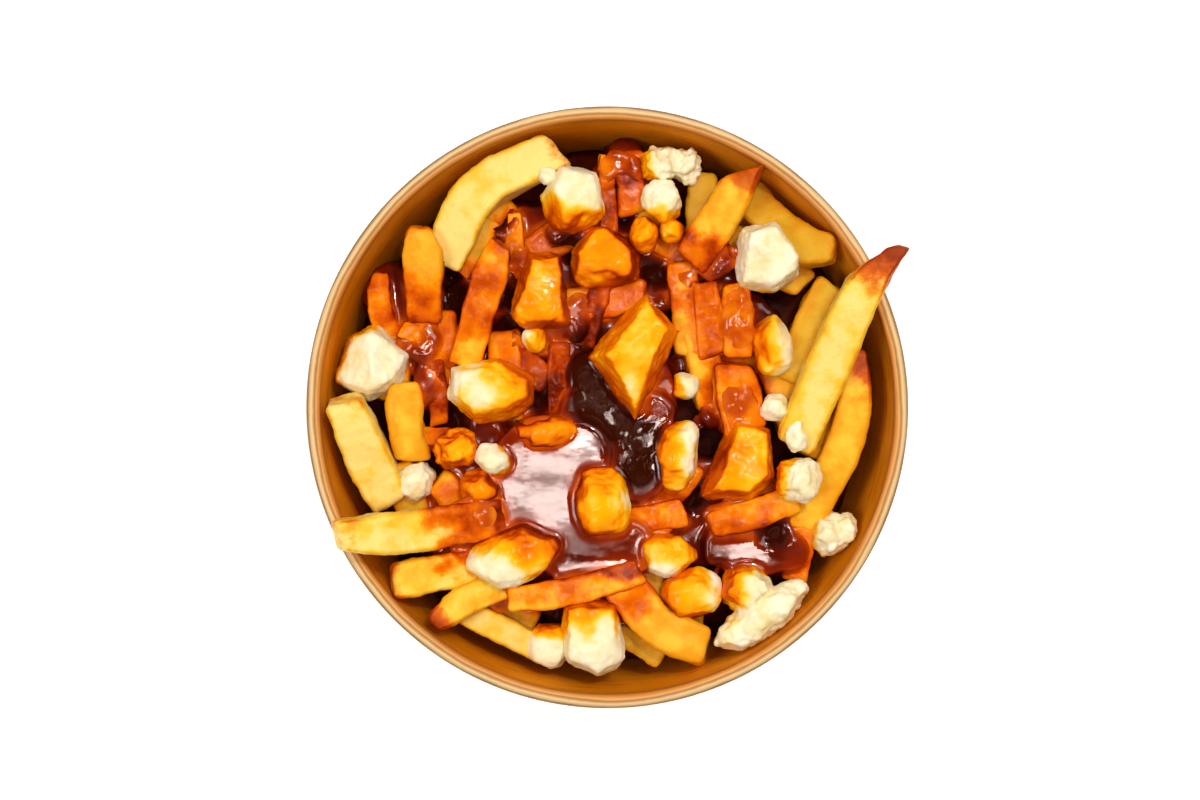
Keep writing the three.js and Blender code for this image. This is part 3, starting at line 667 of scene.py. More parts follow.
def curd_material(settings):
    """Fresh curd: cream, torn and waxy, and yellow to orange where gravy has run over it."""
    make = Maker("cheese_curd")
    blotch = make.noise(140, 5, 0.6)
    fine = make.noise(700, 5, 0.65)
    bare = make.ramp(blotch, (0.3, "EAD699"), (0.5, settings.cream_colour), (0.7, "FBF4DC"))
    coat = make.varied("coat", blotch, 0.35, 0.65, 0.05)
    # The thinnest coat, a pale yellow cream, also serves as painted shade on the shaded side of bare curds.
    sauce = make.ramp(
        coat, (0.02, "EED68C"), (0.18, "FBCB4C"), (0.35, settings.coat_colour), (0.52, "F69405"),
        (0.7, "E07002"), (0.86, "B84A01"), (1.0, "842801"))
    relief = make.math("ADD", fine, make.range(blotch, 0.3, 0.7, 0, 1.5))
    relief = make.math("MULTIPLY", relief, make.range(coat, 0.1, 0.45, 1, 0.2))
    return make.finish(
        base_color=make.mix(make.range(coat, 0.02, 0.26), bare, sauce),
        roughness=make.range(coat, 0.1, 0.4, 0.45, 0.08), specular_ior_level=0.14,
        subsurface_weight=0.2, subsurface_scale=3 * MM, subsurface_radius=(1.0, 0.8, 0.5),
        normal=make.bump(relief, 0.4, 0.3 * MM))


def gravy_material(settings):
    """Gravy: orange where it is a thin film, red brown and then nearly black where it is deep, and nearly
    black as painted shade in the gaps between pieces.
    """
    make = Maker("brown_gravy")
    depth = make.varied("depth", make.noise(120, 4, 0.55), 0.3, 0.7, 0.05)
    streak = make.noise(90, 4, 0.6, stretch=(1, 2.2, 1))
    glint = make.range(make.noise(240, 2, 0.5), 0.57, 0.64, 0, 0.5)
    glint = make.math("MULTIPLY", make.range(depth, 0.45, 0.8), glint)
    gloss = make.range(depth, 0.45, 0.8, 0.48, 0.02)
    gloss = make.math("MULTIPLY", gloss, make.range(streak, 0.38, 0.64, 1, 0.7))
    ripple = make.math("MULTIPLY", make.noise(260, 3, 0.5), make.attribute("ripple"))
    # Past about 0.4 the depth comes only from the hollows: deep gravy in the dark pool, painted shade in the
    # gaps between pieces.
    return make.finish(
        base_color=make.ramp(
            depth, (0.0, settings.thin_colour), (0.05, "C85804"), (0.15, "8E2C02"), (0.34, "5E1801"),
            (0.65, settings.deep_colour), (1.0, "3E1604")),
        roughness=make.range(streak, 0.38, 0.64, 0.03, 0.2),
        specular_ior_level=make.math("ADD", gloss, glint),
        normal=make.bump(ripple, 0.5, 0.35 * MM))


def core_material():
    """What shows deep between the fries: potato, darkened partly by gravy and partly as painted shade."""
    make = Maker("soaked_potato")
    blotch = make.ramp(make.noise(150, 4, 0.6), (0.3, "2A0A03"), (0.6, "5A1E06"), (0.8, "7A3A0C"))
    return make.finish(base_color=blotch, roughness=0.4, specular_ior_level=0.05)


# The bowl
def wall_radius(z):
    """The inside radius of the wall at a height."""
    low = FOOT_RADIUS - PAPER
    return low + (WALL_TOP_R - low) * z / WALL_TOP_Z


def keep_inside(piece):
    """Presses whatever would reach into the bowl's wall back from it."""
    places = points_of(piece)
    free = np.where(places[:, 2] < WALL_TOP_Z, wall_radius(places[:, 2]) - WALL_GAP, FAR_OUT)
    reach = np.maximum(np.hypot(places[:, 0], places[:, 1]), MM)
    places[:, :2] *= np.minimum(1, free / reach)[:, None]
    set_points(piece, places)


def bowl_outline(roll_steps=20, wall_steps=12, inside_steps=16):
    """The bowl's section, from the axis under the base out, up and back to the axis."""
    skirt = FOOT_RADIUS - SKIRT_PAPER
    outline = [
        (0, BASE_UNDERSIDE), (skirt - 1.5 * MM, BASE_UNDERSIDE),
        (skirt - 0.3 * MM, BASE_UNDERSIDE - 0.6 * MM), (skirt, SKIRT_EDGE), (skirt + SKIRT_EDGE, 0),
        (FOOT_RADIUS - SKIRT_EDGE, 0), (FOOT_RADIUS, SKIRT_EDGE)]
    outer_r, outer_z = WALL_TOP_R + PAPER, WALL_TOP_Z - PAPER
    for share in np.linspace(0.02, 1, wall_steps):
        outline.append((FOOT_RADIUS + (outer_r - FOOT_RADIUS) * share, outer_z * share))
    for angle in np.radians(np.linspace(-90, 205, roll_steps)):
        out, up = LIP_RADIUS * math.cos(angle), LIP_RADIUS * math.sin(angle)
        outline.append((LIP_CENTRE_R + out, LIP_CENTRE_Z + up))
    for share in np.linspace(0, 1, inside_steps)[1:]:
        z = WALL_TOP_Z - 0.4 * MM + (BASE_TOP + 2 * MM - WALL_TOP_Z) * share
        outline.append((wall_radius(z), z))
    corner = wall_radius(BASE_TOP)
    return outline + [(corner - 0.5 * MM, BASE_TOP + 0.6 * MM), (corner - 2 * MM, BASE_TOP), (0, BASE_TOP)]


def spun(outline, steps, name):
    """A closed shape turned round the Z axis from its section."""
    mesh = bpy.data.meshes.new(name)
    mesh.from_pydata([(r, 0, z) for r, z in outline], [(i, i + 1) for i in range(len(outline) - 1)], [])
    piece = bpy.data.objects.new(name, mesh)
    bpy.context.scene.collection.objects.link(piece)
    edit_all(piece)
    bpy.ops.mesh.spin(steps=steps, angle=2 * math.pi, center=(0, 0, 0), axis=(0, 0, 1))
    bpy.ops.mesh.select_all(action="SELECT")
    bpy.ops.mesh.remove_doubles(threshold=1e-6)
    bpy.ops.mesh.normals_make_consistent(inside=False)
    object_mode()
    return piece


def build_bowl(settings):
    """The bowl, with the wall's glued overlap and the pressed ring over its base."""
    piece = spun(bowl_outline(), settings.sides, "kraft_bowl")
    places = points_of(piece)
    height = places[:, 2]
    radius = np.hypot(places[:, 0], places[:, 1])
    around = np.arctan2(places[:, 1], places[:, 0])
    outside = smoothstep(0, 0.4 * MM, radius - (wall_radius(height) + 0.3 * MM))
    past_seam = around - settings.seam_angle
    overlap = smoothstep(-0.004, 0.004, np.sin(past_seam)) * smoothstep(0.16, 0.14, np.abs(past_seam))
    on_wall = smoothstep(2 * MM, 4 * MM, height) * smoothstep(WALL_TOP_Z, WALL_TOP_Z - 4 * MM, height)
    ring = smoothstep(0.8 * MM, 0, np.abs(height - settings.crimp_height))
    out = outside * (settings.seam_step * overlap * on_wall - settings.crimp_depth * ring)
    places[:, 0] += out * np.cos(around)
    places[:, 1] += out * np.sin(around)
    set_points(piece, places)
    from_lip = np.hypot(radius - LIP_CENTRE_R, height - LIP_CENTRE_Z)
    set_attribute(piece, "lip", smoothstep(LIP_RADIUS * 1.6, LIP_RADIUS * 1.15, from_lip))
    set_attribute(piece, "outside", outside)
    set_attribute(piece, "across", (radius - LIP_CENTRE_R) / (2 * LIP_RADIUS) + 0.5)
    smooth(piece)
    dress(piece, kraft_material(settings), "kraft", "bowl")


# The fries
def fry_blank(cuts, cuts_across):
    """A straight square stick, two wide, with soft edges and an even net of faces."""
    deselect()
    bpy.ops.mesh.primitive_cube_add(size=2, location=(0, 0, 0))
    piece = bpy.context.object
    piece.scale = (STICK_HALF, 1, 1)
    settle(piece)
    edit_all(piece)
    bpy.ops.mesh.bevel(offset=STICK_BEVEL, segments=4, affect="EDGES", profile=0.6)
    for axis, half, count in ((0, STICK_HALF, cuts), (1, 1, cuts_across), (2, 1, cuts_across)):
        normal = np.eye(3)[axis]
        for step in range(1, count):
            place = normal * half * (2 * step / count - 1) * 0.93
            bpy.ops.mesh.select_all(action="SELECT")
            bpy.ops.mesh.bisect(plane_co=place, plane_no=normal)
    bpy.ops.mesh.select_all(action="SELECT")
    bpy.ops.mesh.remove_doubles(threshold=1e-4)
    object_mode()
    return piece


def fry_line(points, steps=120):
    """Places along a fry, two straight runs with a soft bend between, and how far along each is."""
    start, end = np.array(points[0], float), np.array(points[-1], float)
    through = np.array(points[1], float) if len(points) > 2 else (start + end) / 2
    first, second = np.linalg.norm(through - start), np.linalg.norm(end - through)
    share = np.linspace(-0.3, 1.3, 3 * steps) * (first + second) - first
    before, after = (through - start) / first, (end - through) / second
    line = through + share[:, None] * np.where(share[:, None] < 0, before, after)
    window = int(steps * 3 / 1.6 * BEND_LENGTH) | 1
    even = np.ones(window) / window
    soft = np.stack([np.convolve(column, even, "same") for column in line.T], 1)
    soft = soft[(share >= -first) & (share <= second)]
    length = np.concatenate([[0], np.cumsum(np.linalg.norm(np.diff(soft, axis=0), axis=1))])
    return soft, length


def follow(share, length, rows):
    """The rows that belong to each share of the whole length."""
    return np.stack([np.interp(share * length[-1], length, column) for column in rows.T], 1)


def lay_fry(blank, spec, number):
    """Bends a copy of the straight stick along the fry's line, and marks its ends and edges."""
    rule = seeded(100 + number)
    piece = copy_of(blank, f"fry_{number}")
    flat = points_of(piece)
    along_stick, across, above = flat.T.copy()
    sides = np.minimum(np.abs(across), np.abs(above))
    line, length = fry_line(spec["points"])
    whole = length[-1]
    width = spec["width"]
    thick = spec.get("thick", width * 0.92)
    tip, tail = spec.get("tip", 0.86), 0.93 + 0.1 * next(rule)

    # Along: the caps at both ends keep their length, and each end is cut a little aslant
    cap = width / 2
    from_end = STICK_HALF - np.abs(along_stick)
    inner = np.abs(along_stick) / (STICK_HALF - 1) * np.maximum(whole / 2 - cap, 0.1)
    reach = np.where(from_end < 1, whole / 2 - from_end * cap, inner)
    slants = [0.5 * (next(rule) - 0.5) + spec.get("slant", 0), 0.5 * (next(rule) - 0.5)]
    lean = np.where(along_stick < 0, slants[0], slants[1])
    lean = lean * smoothstep(0.6 * STICK_HALF, STICK_HALF, np.abs(along_stick))
    along = whole / 2 + np.sign(along_stick) * reach + lean * across * cap
    share = np.clip(along / whole, 0, 1)

    # Across: hollow sides, a wave in the width, and a taper
    across *= 1 - 0.05 * next(rule) * (1 - above ** 2)
    above *= 1 - 0.05 * next(rule) * (1 - np.clip(across, -1, 1) ** 2)
    wave = 1 + 0.05 * np.sin(share * (4 + 5 * next(rule)) + 6 * next(rule))
    taper = tip + (1 - tip) * np.minimum(share / TIP_LENGTH, 1) ** 0.8
    taper = np.where(share < 0.5, taper, 1 - (1 - tail) * smoothstep(0.6, 1, share))
    across = across * cap * taper * wave
    above = above * thick / 2 * taper * (2 - wave)
    turn = SMALL_TURN * (next(rule) - 0.5) + TWIST * (next(rule) - 0.5) * (share - 0.5)
    across, above = turned(across, above, turn)

    tangent = np.gradient(line, axis=0)
    tangent /= np.linalg.norm(tangent, axis=1)[:, None]
    ahead = follow(share, length, tangent)
    side = np.cross([0, 0, 1], ahead)
    side /= np.linalg.norm(side, axis=1)[:, None]
    over = np.cross(ahead, side)
    past = (along - share * whole)[:, None] * ahead
    places = follow(share, length, line) + past + across[:, None] * side + above[:, None] * over
    set_points(piece, places * MM)

    edge = smoothstep(0.72, 1.0, sides)
    face_highlight = smoothstep(0.9, 0.1, sides)
    brown = spec.get("brown", (0.1, 0.1))
    first = brown[0] * smoothstep(0.34 if brown[0] > 0.7 else 0.16, 0, share)
    last = brown[1] * smoothstep(0.84, 1, share)
    set_attribute(piece, "brown", 0.24 * edge + np.maximum(first, last) + 0.2 * edge * (first + last))
    streak = rough_noise(np.stack([share * whole / 22, flat[:, 1] * 1.3, flat[:, 2] * 1.3], 1), 1, number)
    # The tone is paler along the middle of each face, a painted highlight, and deeper at the corners, which
    # real fries have.
    set_attribute(piece, "tone", spec.get("tone", 1) + 0.5 * edge - 0.16 * face_highlight + 0.35 * streak)
    run = spec.get("glaze_end", 0) * smoothstep(0.5, 0.72, share + 0.2 * streak)
    set_attribute(piece, "own_glaze", np.maximum(spec.get("glaze", 0) * (1 + 0.5 * streak), run))
    # How far the fry is darkened to a dull gold as painted shade, for fries in shadow.
    set_attribute(piece, "dull", np.full(len(share), spec.get("dull", 0)))
    return piece


def in_pool(x, y):
    rounds = [pool_round for pool in POOLS for pool_round in pool["rounds"]]
    return any(math.hypot(x - pool_x, y - pool_y) < radius * 0.7 for pool_x, pool_y, radius in rounds)


def lower_fries():
    """The fries under the ones that show, in rings, by the same rule as in the solids."""
    rule = seeded(4)
    fries = []
    for radius, count, height in LOWER_RINGS:
        for index in range(count):
            around = (index + 0.35 * next(rule)) / count * 2 * math.pi
            heading = around + math.pi / 2 + (next(rule) - 0.5) * 0.7
            reach = LOWER_LENGTH * (0.42 + 0.1 * next(rule))
            x, y = radius * math.cos(around), radius * math.sin(around)
            dx, dy = reach * math.cos(heading), reach * math.sin(heading)
            lean = (next(rule) - 0.5) * 3
            if not in_pool(x, y):
                start, end = (x - dx, y - dy, height - lean), (x + dx, y + dy, height + lean)
                fries.append(fry(LOWER_WIDTH, start, end, tone=0.9, glaze=0.15))
    return fries


def glaze_fries(piece):
    """Marks where gravy colours the fries: thick where they stand in it, thin on what is above it, and
    darker low down and on the sides partly as painted shade.
    """
    places = points_of(piece)
    own = get_attribute(piece, "own_glaze")
    cover = smoothstep(-2.5, 2.5, gravy_cover(places))
    rise = places[:, 2] / MM - gravy_level(places)
    wet_and_shade = smoothstep(4.5, -1, rise + 1.2 * rough_noise(places, 4 * MM, 6))
    slope = smoothstep(0.85, 0.2, normals_of(piece)[:, 2])
    patch = 0.2 * rough_noise(places, 6 * MM, 21) + 0.06 * rough_noise(places, 2 * MM, 22)
    # Near the gravy and on slopes the glaze grows darker, partly as gravy and partly as painted shade.
    glaze = GLAZE_LEAST + GLAZE_OWN * own + GLAZE_WET_AND_SHADE * wet_and_shade + GLAZE_SLOPE * slope + patch
    glaze = cover * np.clip(glaze, 0, GLAZE_MOST) + GLAZE_SPLASH * own * (1 - cover)
    # Fries low down in the hollows are darkened nearly to black: painted shade.
    hollow_shade = 1.15 * hollow_share(places)[0] * smoothstep(0.5, -2.5, rise)
    set_attribute(piece, "glaze", np.clip(np.maximum(glaze, hollow_shade), 0, 1.15))


def heap_core():
    """The dark core that the fries lie on."""
    floor = BASE_TOP + 0.5 * MM
    outline = [(0, floor), (wall_radius(BASE_TOP) - 4 * MM, floor)]
    for z in (BASE_TOP + 5 * MM, CORE_EDGE - 4 * MM):
        outline.append((wall_radius(z) - CORE_GAP, z))
    for share in np.linspace(0, 1, 24):
        z = CORE_EDGE + (CORE_CROWN - CORE_EDGE) * math.sin(share * math.pi / 2)
        outline.append((wall_radius(CORE_EDGE) * 0.95 * (1 - share), z))
    core = spun(outline, 96, "heap_core")
    roughen(core, 7 * MM, 2.4 * MM)
    keep_inside(core)
    smooth(core)
    return core


def build_fries(settings):
    """The fries that show, the plainer ones below them and the core of the heap."""
    material = fry_material(settings)
    blank = fry_blank(settings.cuts, settings.cuts_across)
    plain = fry_blank(settings.cuts // 2, settings.cuts_across // 2)
    for name, stick, fries, first in (
            ("fries_shown", blank, FRIES, 0), ("fries_below", plain, lower_fries(), 50)):
        piece = join([lay_fry(stick, spec, first + number) for number, spec in enumerate(fries)], name)
        roughen(piece, 6 * MM, settings.skin_wander)
        roughen(piece, 2 * MM, settings.skin_grain)
        keep_inside(piece)
        smooth(piece)
        glaze_fries(piece)
        dress(piece, material, "fry", "fries")
        bpy.data.objects.remove(stick)
    dress(heap_core(), core_material(), "fry", "fries")


# The curds
def lump(spec):
    """One rounded lump, cut by its torn flats, at its place."""
    deselect()
    bpy.ops.mesh.primitive_ico_sphere_add(subdivisions=4, radius=1, location=(0, 0, 0))
    piece = bpy.context.object
    half = np.array(spec["size"], float) / 2
    ball = points_of(piece)
    full = (np.abs(ball) ** CURD_FULLNESS).sum(1) ** (-1 / CURD_FULLNESS)
    set_points(piece, ball * full[:, None] * half)
    rule = seeded(spec.get("seed", 1))
    torn = spec.get("torn", 5)
    cuts = []
    for index in range(torn):
        around = math.radians((index + next(rule) * 0.6) * 360 / torn)
        normal = direction(around, math.radians(next(rule) * 70 - 15))
        share = 0.78 + 0.16 * next(rule)
        cuts.append((normal, share * math.sqrt(sum((part * size) ** 2 for part, size in zip(normal, half)))))
    turn = spec.get("turn", 0)
    for around, lift, reach in spec.get("flats", []):
        cuts.append((direction(math.radians(around - turn), math.radians(lift)), reach))
    edit_all(piece)
    for normal, reach in cuts:
        bpy.ops.mesh.select_all(action="SELECT")
        bpy.ops.mesh.bisect(plane_co=normal * reach, plane_no=normal, use_fill=True, clear_outer=True)
    object_mode()
    places = points_of(piece)
    places[:, :2] *= (1 - CURD_SLOPE * np.clip(places[:, 2] / half[2], 0, 1))[:, None]
    x, y = turned(places[:, 0], places[:, 1], math.radians(turn))
    set_points(piece, (np.stack([x, y, places[:, 2]], 1) + np.array(spec["at"])) * MM)
    return piece


def coat_curd(piece, spec):
    """Marks how thickly gravy coats a curd: thin on top, thick at its foot and on the side the gravy runs
    down. The darker coat at its foot and on its slopes is partly painted shade.
    """
    places = points_of(piece)
    flat = (places - np.array(spec["at"]) * MM) / (max(spec["size"]) * MM)
    heading = math.radians(spec.get("gravy_from", 0))
    side = flat[:, 0] * math.cos(heading) + flat[:, 1] * math.sin(heading)
    wander = rough_noise(places, 6 * MM, 2)
    fine = rough_noise(places, 2 * MM, 3)
    run = smoothstep(-0.26, 0.3, side + 0.2 * wander + 0.05 * fine + 1.6 * (spec["gravy"] - 0.5))
    rise = places[:, 2] / MM - gravy_level(places) + 1.2 * wander
    wet_and_shade = smoothstep(4, -0.5, rise)
    slope = smoothstep(0.96, 0.4, normals_of(piece)[:, 2])
    thick = COAT_LEAST + spec.get("thick", 0) + 0.2 * wander
    # Near the gravy, on slopes and at the foot the coat grows darker, partly as gravy and partly as painted
    # shade.
    thick += COAT_WET_AND_SHADE * wet_and_shade + COAT_SIDE * side + COAT_SLOPE * slope
    foot = smoothstep(3, 0.5, rise) * smoothstep(-1.5, 1.5, gravy_cover(places))
    set_attribute(piece, "coat", np.clip(np.maximum(run * thick, foot * (0.35 + 0.35 * wet_and_shade)), 0, 1))


def build_curds(settings):
    """All the curds, each from its lumps, melted together and roughened."""
    material = curd_material(settings)
    for name, spec in CURDS.items():
        piece = join([lump(part) for part in (spec, *spec.get("more", []))], f"curd_piece_{name}")
        add_modifier(piece, "REMESH", mode="VOXEL", voxel_size=settings.grain)
        add_modifier(piece, "SMOOTH", factor=0.5, iterations=7)
        roughen(piece, 5 * MM, settings.lumps)
        roughen(piece, 1.6 * MM, settings.crumble - 0.25 * MM * spec["gravy"])
        if "ragged" in spec:
            roughen(piece, 2.3 * MM, spec["ragged"] * MM)
        keep_inside(piece)
        smooth(piece)
        coat_curd(piece, spec)
        dress(piece, material, "curd", f"curd_{name}")


# The gravy
def pool_forms():
    """The rounds of all pools as short drums, to be melted into the gravy."""
    drums = []
    for pool in POOLS:
        for x, y, radius in pool["rounds"]:
            deselect()
            bpy.ops.mesh.primitive_cylinder_add(
                vertices=40, radius=radius * MM, depth=pool["depth"] * MM,
                location=(x * MM, y * MM, (pool["level"] - pool["depth"] / 2) * MM))
            drums.append(settle(bpy.context.object))
    return drums


def mound_form(height):
    """Low rounded mounds, to be melted into the gravy."""
    mounds = []
    for x, y, z, length_across, width, turn in MOUNDS:
        deselect()
        bpy.ops.mesh.primitive_uv_sphere_add(
            segments=24, ring_count=12, radius=0.5 * MM, location=(x * MM, y * MM, z * MM),
            rotation=(0, 0, math.radians(turn)), scale=(length_across, width, height / MM))
        mounds.append(settle(bpy.context.object))
    mound = join(mounds, "mounds")
    roughen(mound, 4 * MM, MOUND_WANDER)
    return mound


def fill_form():
    """A low dome of gravy that fills the hollows between the fries where there is gravy."""
    deselect()
    bpy.ops.mesh.primitive_grid_add(x_subdivisions=FILL_CELLS, y_subdivisions=FILL_CELLS, size=FILL_SPAN)
    piece = bpy.context.object
    places = points_of(piece)
    top = (dome_level(places) + 0.6 * rough_noise(places, 6 * MM, 7)) * MM
    places[:, 2] = FILL_FLOOR + (top - FILL_FLOOR) * smoothstep(-5, 1, gravy_cover(places))
    set_points(piece, places)
    edit_all(piece)
    bpy.ops.mesh.extrude_region_move(TRANSFORM_OT_translate={"value": (0, 0, -FILL_DEPTH)})
    object_mode()
    edit_all(piece)
    bpy.ops.mesh.normals_make_consistent(inside=False)
    object_mode()
    return piece


def shrunk(piece, amount):
    """A copy a little smaller all round, which the gravy reaches less far up."""
    twin = copy_of(piece, "melt_" + piece.name)
    set_points(twin, points_of(twin) - normals_of(twin) * amount)
    return twin


def calm_share(places):
    """1 where the gravy lies level, down to 0 where it climbs over fries."""
    return smoothstep(4, 1, np.abs(places[:, 2] / MM - gravy_level(places)))


def build_gravy(settings):
    """The pools, the thin gravy and its mounds, melted round the fries and curds as one film."""
    fries = [bpy.data.objects[name] for name in ("fries_shown", "fries_below", "heap_core")]
    curds = [bpy.data.objects[f"curd_piece_{name}"] for name in CURDS]
    depsgraph = bpy.context.evaluated_depsgraph_get()
    trees = [BVHTree.FromObject(piece, depsgraph) for piece in fries[:2] + curds]
    parts = [shrunk(piece, settings.fry_stand) for piece in fries]
    parts += [shrunk(piece, settings.curd_stand) for piece in curds]
    parts += [*pool_forms(), mound_form(settings.mound_height), fill_form()]
    piece = join(parts, "gravy_film")
    piece.data.materials.clear()
    add_modifier(piece, "REMESH", mode="VOXEL", voxel_size=settings.film_grain)
    add_modifier(piece, "SMOOTH", factor=0.5, iterations=settings.melt)

    places, normals = points_of(piece), normals_of(piece)
    cover = gravy_cover(places)
    film = settings.film * smoothstep(-1.0, 2.0, cover) - FILM_TUCK * smoothstep(0.8, -1.6, cover)
    film += 0.4 * MM * (1 - calm_share(places)) * rough_noise(places, 2.4 * MM, 12)
    film -= hollow_share(places)[1] * MM
    set_points(piece, places + normals * film[:, None])
    edit_all(piece)
    bpy.ops.mesh.bisect(plane_co=(0, 0, FILM_FLOOR), plane_no=(0, 0, 1), use_fill=True, clear_inner=True)
    object_mode()
    keep_inside(piece)

    places = points_of(piece)
    near = np.min([distance_to(tree, places, DEPTH_LIMIT) for tree in trees], axis=0)
    depth = spread(piece, np.minimum(near, settings.brown_depth), 8) / settings.dark_depth
    # The hollows darken the gravy: deep gravy in the dark pool and painted shade in the gaps between pieces.
    hollow = hollow_share(places)[0]
    set_attribute(piece, "depth", np.clip(depth + 0.75 * hollow, 0, 1))
    set_attribute(piece, "ripple", 1 - 0.85 * calm_share(places) * (1 - 0.6 * hollow))
    smooth(piece)
    dress(piece, gravy_material(settings), "gravy", "gravy_pool", "gravy_pool_centre", "gravy_pool_right")


# The stage
def area_light(name, place, aim, size, power, tint=(1, 1, 1)):
    data = bpy.data.lights.new(name, "AREA")
    data.shape = "RECTANGLE"
    data.size, data.size_y = size
    data.energy = power
    data.color = tint
    lamp = bpy.data.objects.new(name, data)
    lamp.location = place
    lamp.rotation_euler = (Vector(aim) - Vector(place)).to_track_quat("-Z", "Y").to_euler()
    bpy.context.scene.collection.objects.link(lamp)


def studio_world(settings):
    """White light all round that is weaker straight overhead."""
    world = bpy.data.worlds.new("studio")
    world.use_nodes = True
    nodes, links = world.node_tree.nodes, world.node_tree.links
    height, band = nodes.new("ShaderNodeSeparateXYZ"), nodes.new("ShaderNodeMapRange")
    links.new(nodes.new("ShaderNodeTexCoord").outputs["Generated"], height.inputs[0])
    links.new(height.outputs["Z"], band.inputs["Value"])
    low, high = settings.world_light, settings.ceiling_light
    for name, value in {"From Min": 0.45, "From Max": 0.95, "To Min": low, "To Max": high}.items():
        band.inputs[name].default_value = value
    links.new(band.outputs["Result"], nodes["Background"].inputs["Strength"])
    nodes["Background"].inputs["Color"].default_value = (1, 1, 1, 1)
    return world


def build_stage(settings):
    """The floor, the light and the camera, which looks straight down."""
    deselect()
    bpy.ops.mesh.primitive_plane_add(size=6, location=(0, 0, -0.2 * MM))
    floor = bpy.context.object
    floor.name = "floor"
    floor.data.materials.append(Maker("pale_floor").finish(
        base_color=(0.93, 0.93, 0.93, 1), roughness=0.8, specular_ior_level=0.1,
        emission_color=(1, 1, 1, 1), emission_strength=settings.floor_glow))
    scene = bpy.context.scene
    scene.world = studio_world(settings)
    aim = (0, 0, 50 * MM)
    area_light("key", (0.3, 0.4, 0.85), aim, (0.5, 0.4), settings.key_light)
    area_light("spark", (0.2, 0.28, 0.8), aim, (0.035, 0.035), settings.spark_light)
    area_light("fill", (-0.52, -0.1, 0.8), aim, (0.35, 0.35), settings.fill_light)
    for number, (x, y, width, depth) in enumerate(GLOSS_LIGHTS):
        area_light(
            f"gloss_{number}", (x, y, GLOSS_HEIGHT), (x / 3, y / 3, 0), (width, depth),
            settings.gloss_light * width * depth, GLOSS_TINT)
    scene.view_settings.view_transform = "Standard"
    scene.view_settings.look = "Medium High Contrast"
    data = bpy.data.cameras.new("camera")
    data.sensor_width = SENSOR_WIDTH
    data.lens = SENSOR_WIDTH * settings.camera_above_rim / (VIEW_PIXELS * settings.pixel_size)
    data.clip_start = 0.01
    camera = bpy.data.objects.new("camera", data)
    camera.location = (-CAMERA_SHIFT, CAMERA_SHIFT, BOWL_HEIGHT + settings.camera_above_rim)
    scene.collection.objects.link(camera)
    scene.camera = camera


# The settings
def plain_number(name, description, default, **limits):
    return bpy.props.FloatProperty(name=name, description=description, default=default, **limits)


def whole_number(name, description, default, low):
    return bpy.props.IntProperty(name=name, description=description, default=default, min=low)


def metres(name, description, default, low=0.0):
    """A size in metres, shown in the scene's own units."""
    return plain_number(name, description, default, min=low, unit="LENGTH", precision=5)


def colour(name, description, code):
    return bpy.props.FloatVectorProperty(
        name=name, description=description, default=linear(code), size=4, min=0, max=1, subtype="COLOR")


class BowlSettings(bpy.types.PropertyGroup):
    """Sizes and colours of the paper bowl."""

    sides: whole_number("Sides", "Faces round the bowl", 192, 24)
    seam_angle: plain_number("Seam angle", "Where the glued overlap is", math.radians(-140), subtype="ANGLE")
    seam_step: metres("Seam step", "How far the glued overlap stands out", 0.35 * MM)
    crimp_height: metres("Crimp height", "How far up the wall the pressed ring is", 8 * MM)
    crimp_depth: metres("Crimp depth", "How deep the pressed ring is", 0.25 * MM)
    lining_colour: colour("Lining colour", "The lined inside of the wall, low down", "E6930A")
    board_colour: colour("Board colour", "The plain board outside", "C7965E")


class FrySettings(bpy.types.PropertyGroup):
    """How the fries are modelled, and their colours."""

    cuts: whole_number("Cuts", "Faces along a fry", 38, 8)
    cuts_across: whole_number("Cuts across", "Faces across a fry", 9, 4)
    skin_wander: metres("Skin wander", "How far the sides of a fry wander", 1.2 * MM)
    skin_grain: metres("Skin grain", "How rough the skin of a fry is", 0.45 * MM)
    pale_colour: colour("Pale colour", "The palest fries", "F4D880")
    gold_colour: colour("Gold colour", "The deepest gold, before the browning", "E9A01C")


class CurdSettings(bpy.types.PropertyGroup):
    """How the curds are modelled, and their colours."""

    grain: metres("Grain", "Face size on a curd", 0.5 * MM, 0.3 * MM)
    lumps: metres("Lumps", "How lumpy a curd is", 1.4 * MM)
    crumble: metres("Crumble", "How rough the bare side of a curd is", 0.6 * MM)
    cream_colour: colour("Cream colour", "Bare curd", "F4E8C1")
    coat_colour: colour("Coat colour", "Curd under a thin run of gravy", "FBB20E")


class GravySettings(bpy.types.PropertyGroup):
    """How the gravy lies, and its colours."""

    film_grain: metres("Film grain", "Face size on the gravy", 0.78 * MM, 0.4 * MM)
    melt: whole_number("Melt", "How much the film is smoothed", 14, 0)
    film: metres("Film", "How far the film is raised", 0.1 * MM)
    fry_stand: metres("Fry stand", "How far fries stand proud of the film", 0.5 * MM)
    curd_stand: metres("Curd stand", "How far curds stand proud of the film", 0.8 * MM)
    mound_height: metres("Mound height", "How high the mounds of gravy are", 3 * MM)
    brown_depth: metres("Brown depth", "Depth from which the colour stays even", 3 * MM)
    dark_depth: metres("Dark depth", "Depth at which it is darkest", 8 * MM, 1 * MM)
    thin_colour: colour("Thin colour", "Gravy in its thinnest film", "E88208")
    deep_colour: colour("Deep colour", "Gravy where it is deep", "400F02")


